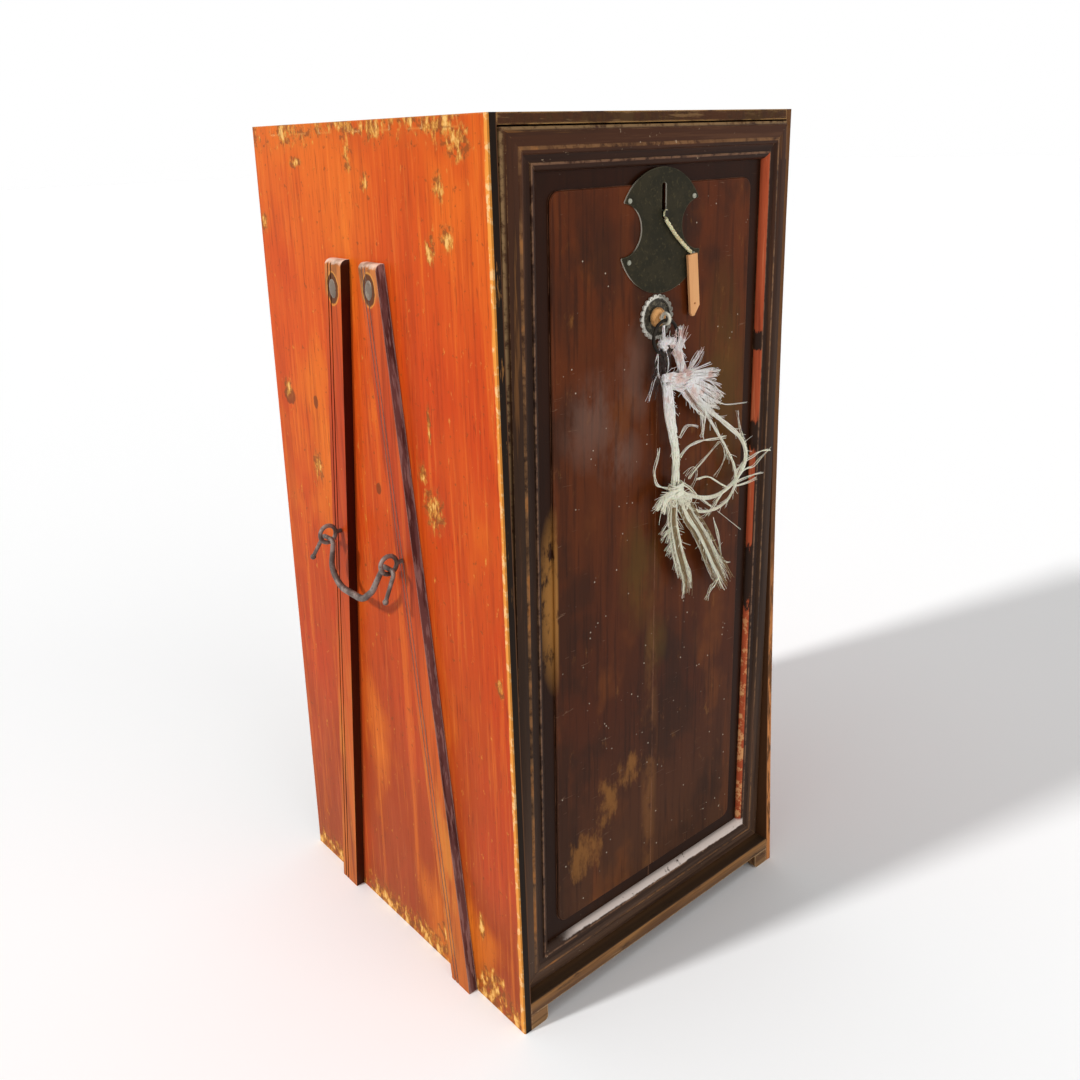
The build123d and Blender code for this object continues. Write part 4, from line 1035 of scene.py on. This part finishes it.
# Single strands: radius, and places across and up the door
for radius, points in (
    (0.8, [(22, 534), (29, 541), (51, 545), (66, 543), (92, 541)]),
    (0.6, [(36, 508), (46, 516), (60, 524), (84, 537)]),
    (0.5, [(22, 554), (27, 563), (37, 566), (47, 560)]),
    (0.5, [(127, 524), (119, 538), (112, 552), (111, 565)]),
    (0.9, [(113, 496), (124, 506), (140, 508), (152, 512), (168, 510)]),
    (0.7, [(115, 492), (130, 497), (142, 495), (152, 504), (168, 512)]),
    (0.6, [(114, 486), (132, 488), (157, 486)]),
    (0.6, [(112, 482), (128, 480), (148, 482)]),
    (0.8, [(50, 503), (64, 505), (80, 494), (97, 483)]),
    (0.8, [(22, 506), (34, 500), (48, 487), (60, 478), (72, 468)]),
    (0.6, [(98, 484), (84, 476), (74, 466), (70, 458)]),
    (0.8, [(8, 503), (-2, 507), (-13, 512), (-17, 526), (-11, 538), (-7, 549)]),
    (0.6, [(54, 578), (53, 562), (56, 546)]),
    (0.6, [(57, 577), (60, 562), (54, 548)]),
    (0.9, [(-9, 651), (-13, 641), (-14, 630), (-9, 620)]),
    (0.9, [(-4, 651), (1, 641), (2, 630), (-2, 620)]),
    (0.6, [(-14, 628), (-20, 616), (-25, 600)]),
    (0.4, [(86, 536), (96, 524), (90, 508), (76, 500)]),
    (0.4, [(30, 512), (44, 522), (52, 508), (40, 496)]),
):
    loose_fibres += strand(points, radius, 3 if radius < 0.5 else 5)
rope_piece("loose_fibres", loose_fibres)

# Darker fibres among the tails: painted shade for the gaps between fibres, on fibre with some stain.
shaded_fibres = (
    locks(left_tail, (7.0, 8.0), 5, 8, 0.4, (1.8, 1.2))
    + locks(right_tail, (8.0, 11.5), 6, 8, 0.4, (1.8, 1.2), trim=0.15)
    + locks(bunch, (6.5, 5.5), 4, 6, 0.38, (2.0, 1.4), 2.5, 0.3)
    + hairs(lower_core, 9.0, 14, 14)
    + fan((30, 611), 58, (-48, -12, -30), 7, 0.5, 5, 0.12, 3)
)
rope_piece("shaded_fibres", shaded_fibres, material=shaded_fibre)

# Fibres with dark stain left of the hitch, painted near black for the shade they lie in as well.
dark_shaded_strands = []
for _ in range(26):
    start_x, end_x = chance.uniform(-14, 4), chance.uniform(-24, 6)
    start, foot = chance.uniform(642, 656), chance.uniform(598, 628)
    middle = ((start_x + end_x) / 2 + chance.gauss(0, 3), (start + foot) / 2)
    dark_shaded_strands += strand([(start_x, start), middle, (end_x, foot)], 0.6, 3, 1.0)
rope_piece("dark_shaded_fibres", dark_shaded_strands, material=dark_shaded_fibre)

hitch_link = door_line([(-6, 672), (-6, 665), (-5, 658)], ROPE_DEPTH - 1)
hitch_line = door_line([(-11, 653), (-6, 656), (1, 656), (9, 655)], ROPE_DEPTH - 1)
hitch_over = door_line([(-9, 659), (-7, 653), (-4, 649)], ROPE_DEPTH - 3)
hitch_fibres = (
    bundle(hitch_link, (1.2, 1.6), 14, 0.4, 0.9, 4.0)
    + bundle(hitch_line, (3.2, 3.6), 44, 0.45, 0.9, 6.0)
    + bundle(hitch_over, (2.4, 2.8), 22, 0.45, 0.8)
    + hairs(hitch_line, 3.0, 16, 8)
)
rope_piece("hitch_fibres", hitch_fibres, ["rope_hitch"], body="pull")

# -------- twisted twine with its tag
LUG_MIDDLE, LUG_HALF_WIDTH, LUG_HALF_HEIGHT = (5.5, 776.0), 2.7, 3.5
PLIES, PLY_RADIUS, PLY_OFFSET = 3, 1.1, 0.95 * MM
twine_route = door_route(TWINE_ROUTE, TWINE_DEPTH)
twine_line = spline_line(twine_route)
twine_strands = []
for ply in range(PLIES):
    places = []
    for index, place in enumerate(twine_line):
        turn = math.tau * (ply / PLIES + index / 6.0)
        across = sideways(twine_line, index)
        places.append(place + PLY_OFFSET * (across * math.cos(turn) + door_out * math.sin(turn)))
    twine_strands.append((places, [PLY_RADIUS] * len(places)))
twine = tubes(
    "twine_strands", twine_strands, twine_fibre, "lock_bolt", ["key_twine"], 1
)
lug_turns = []
for depth in (1.5, 0.7):
    places = []
    for step in range(25):
        turn = math.tau * step / 24
        x = LUG_MIDDLE[0] + LUG_HALF_WIDTH * math.cos(turn)
        height = LUG_MIDDLE[1] + LUG_HALF_HEIGHT * math.sin(turn)
        places.append(on_door(x, height, depth + 0.5 * math.cos(turn + depth)))
    lug_turns.append((places, [0.5] * len(places)))
tubes("twine_turns", lug_turns, twine_fibre, "lock_bolt", roundness=1)

# -------- camera, lamps and floor
camera = add("camera", bpy.data.cameras.new("camera"))
camera.location = (-0.7369, -0.8966, 0.8780)
camera.rotation_euler = [math.radians(angle) for angle in (75.384, 1.733, -40.686)]
camera.data.lens = 35.04
camera.data.sensor_width = 36
camera.data.shift_y = -0.1177
bpy.context.scene.camera = camera
bpy.context.scene.view_settings.view_transform = "Standard"


def lamp(name, heading, spread, strength):
    """Even, soft-edged light that travels along one heading."""
    made = add(name, bpy.data.lights.new(name, "SUN"))
    made.data.angle = math.radians(spread)
    made.data.energy = strength
    made.rotation_euler = Vector(heading).to_track_quat("-Z", "Y").to_euler()


lamp("side_light", (0.79, -0.2, -0.58), 5, 2.3)
lamp("front_light", (-0.1, 0.9, -0.42), 50, 0.65)
lamp("top_light", (0.1, -0.1, -1.0), 60, 0.55)

world = bpy.data.worlds.new("studio")
bpy.context.scene.world = world
world.use_nodes = True
sky = world.node_tree
sky.nodes.clear()


def background(strength):
    made = sky.nodes.new("ShaderNodeBackground")
    made.inputs["Color"].default_value = (1, 1, 1, 1)
    made.inputs["Strength"].default_value = strength
    return made.outputs[0]


def either(first, second):
    made = sky.nodes.new("ShaderNodeMath")
    made.operation = "MAXIMUM"
    sky.links.new(first, made.inputs[0])
    sky.links.new(second, made.inputs[1])
    return made.outputs[0]


# White where the camera or a reflection looks, dimmer as a lamp
ray = sky.nodes.new("ShaderNodeLightPath").outputs
seen = either(either(ray["Is Camera Ray"], ray["Is Transmission Ray"]), ray["Is Glossy Ray"])
mixed = sky.nodes.new("ShaderNodeMixShader")
for value, socket in zip((seen, background(0.38), background(1.0)), mixed.inputs):
    sky.links.new(value, socket)
sky.links.new(mixed.outputs[0], sky.nodes.new("ShaderNodeOutputWorld").inputs[0])

floor_mesh = bpy.data.meshes.new("floor")
bed = bmesh.new()
bmesh.ops.create_grid(bed, x_segments=1, y_segments=1, size=30)
bed.to_mesh(floor_mesh)
bed.free()
floor = add("floor", floor_mesh)
floor_finish = Finish("floor_paper", roughness=0.9, gloss=0.1)
floor_finish.surface.inputs["Base Color"].default_value = (0.94, 0.94, 0.94, 1)
floor.data.materials.append(floor_finish.material)
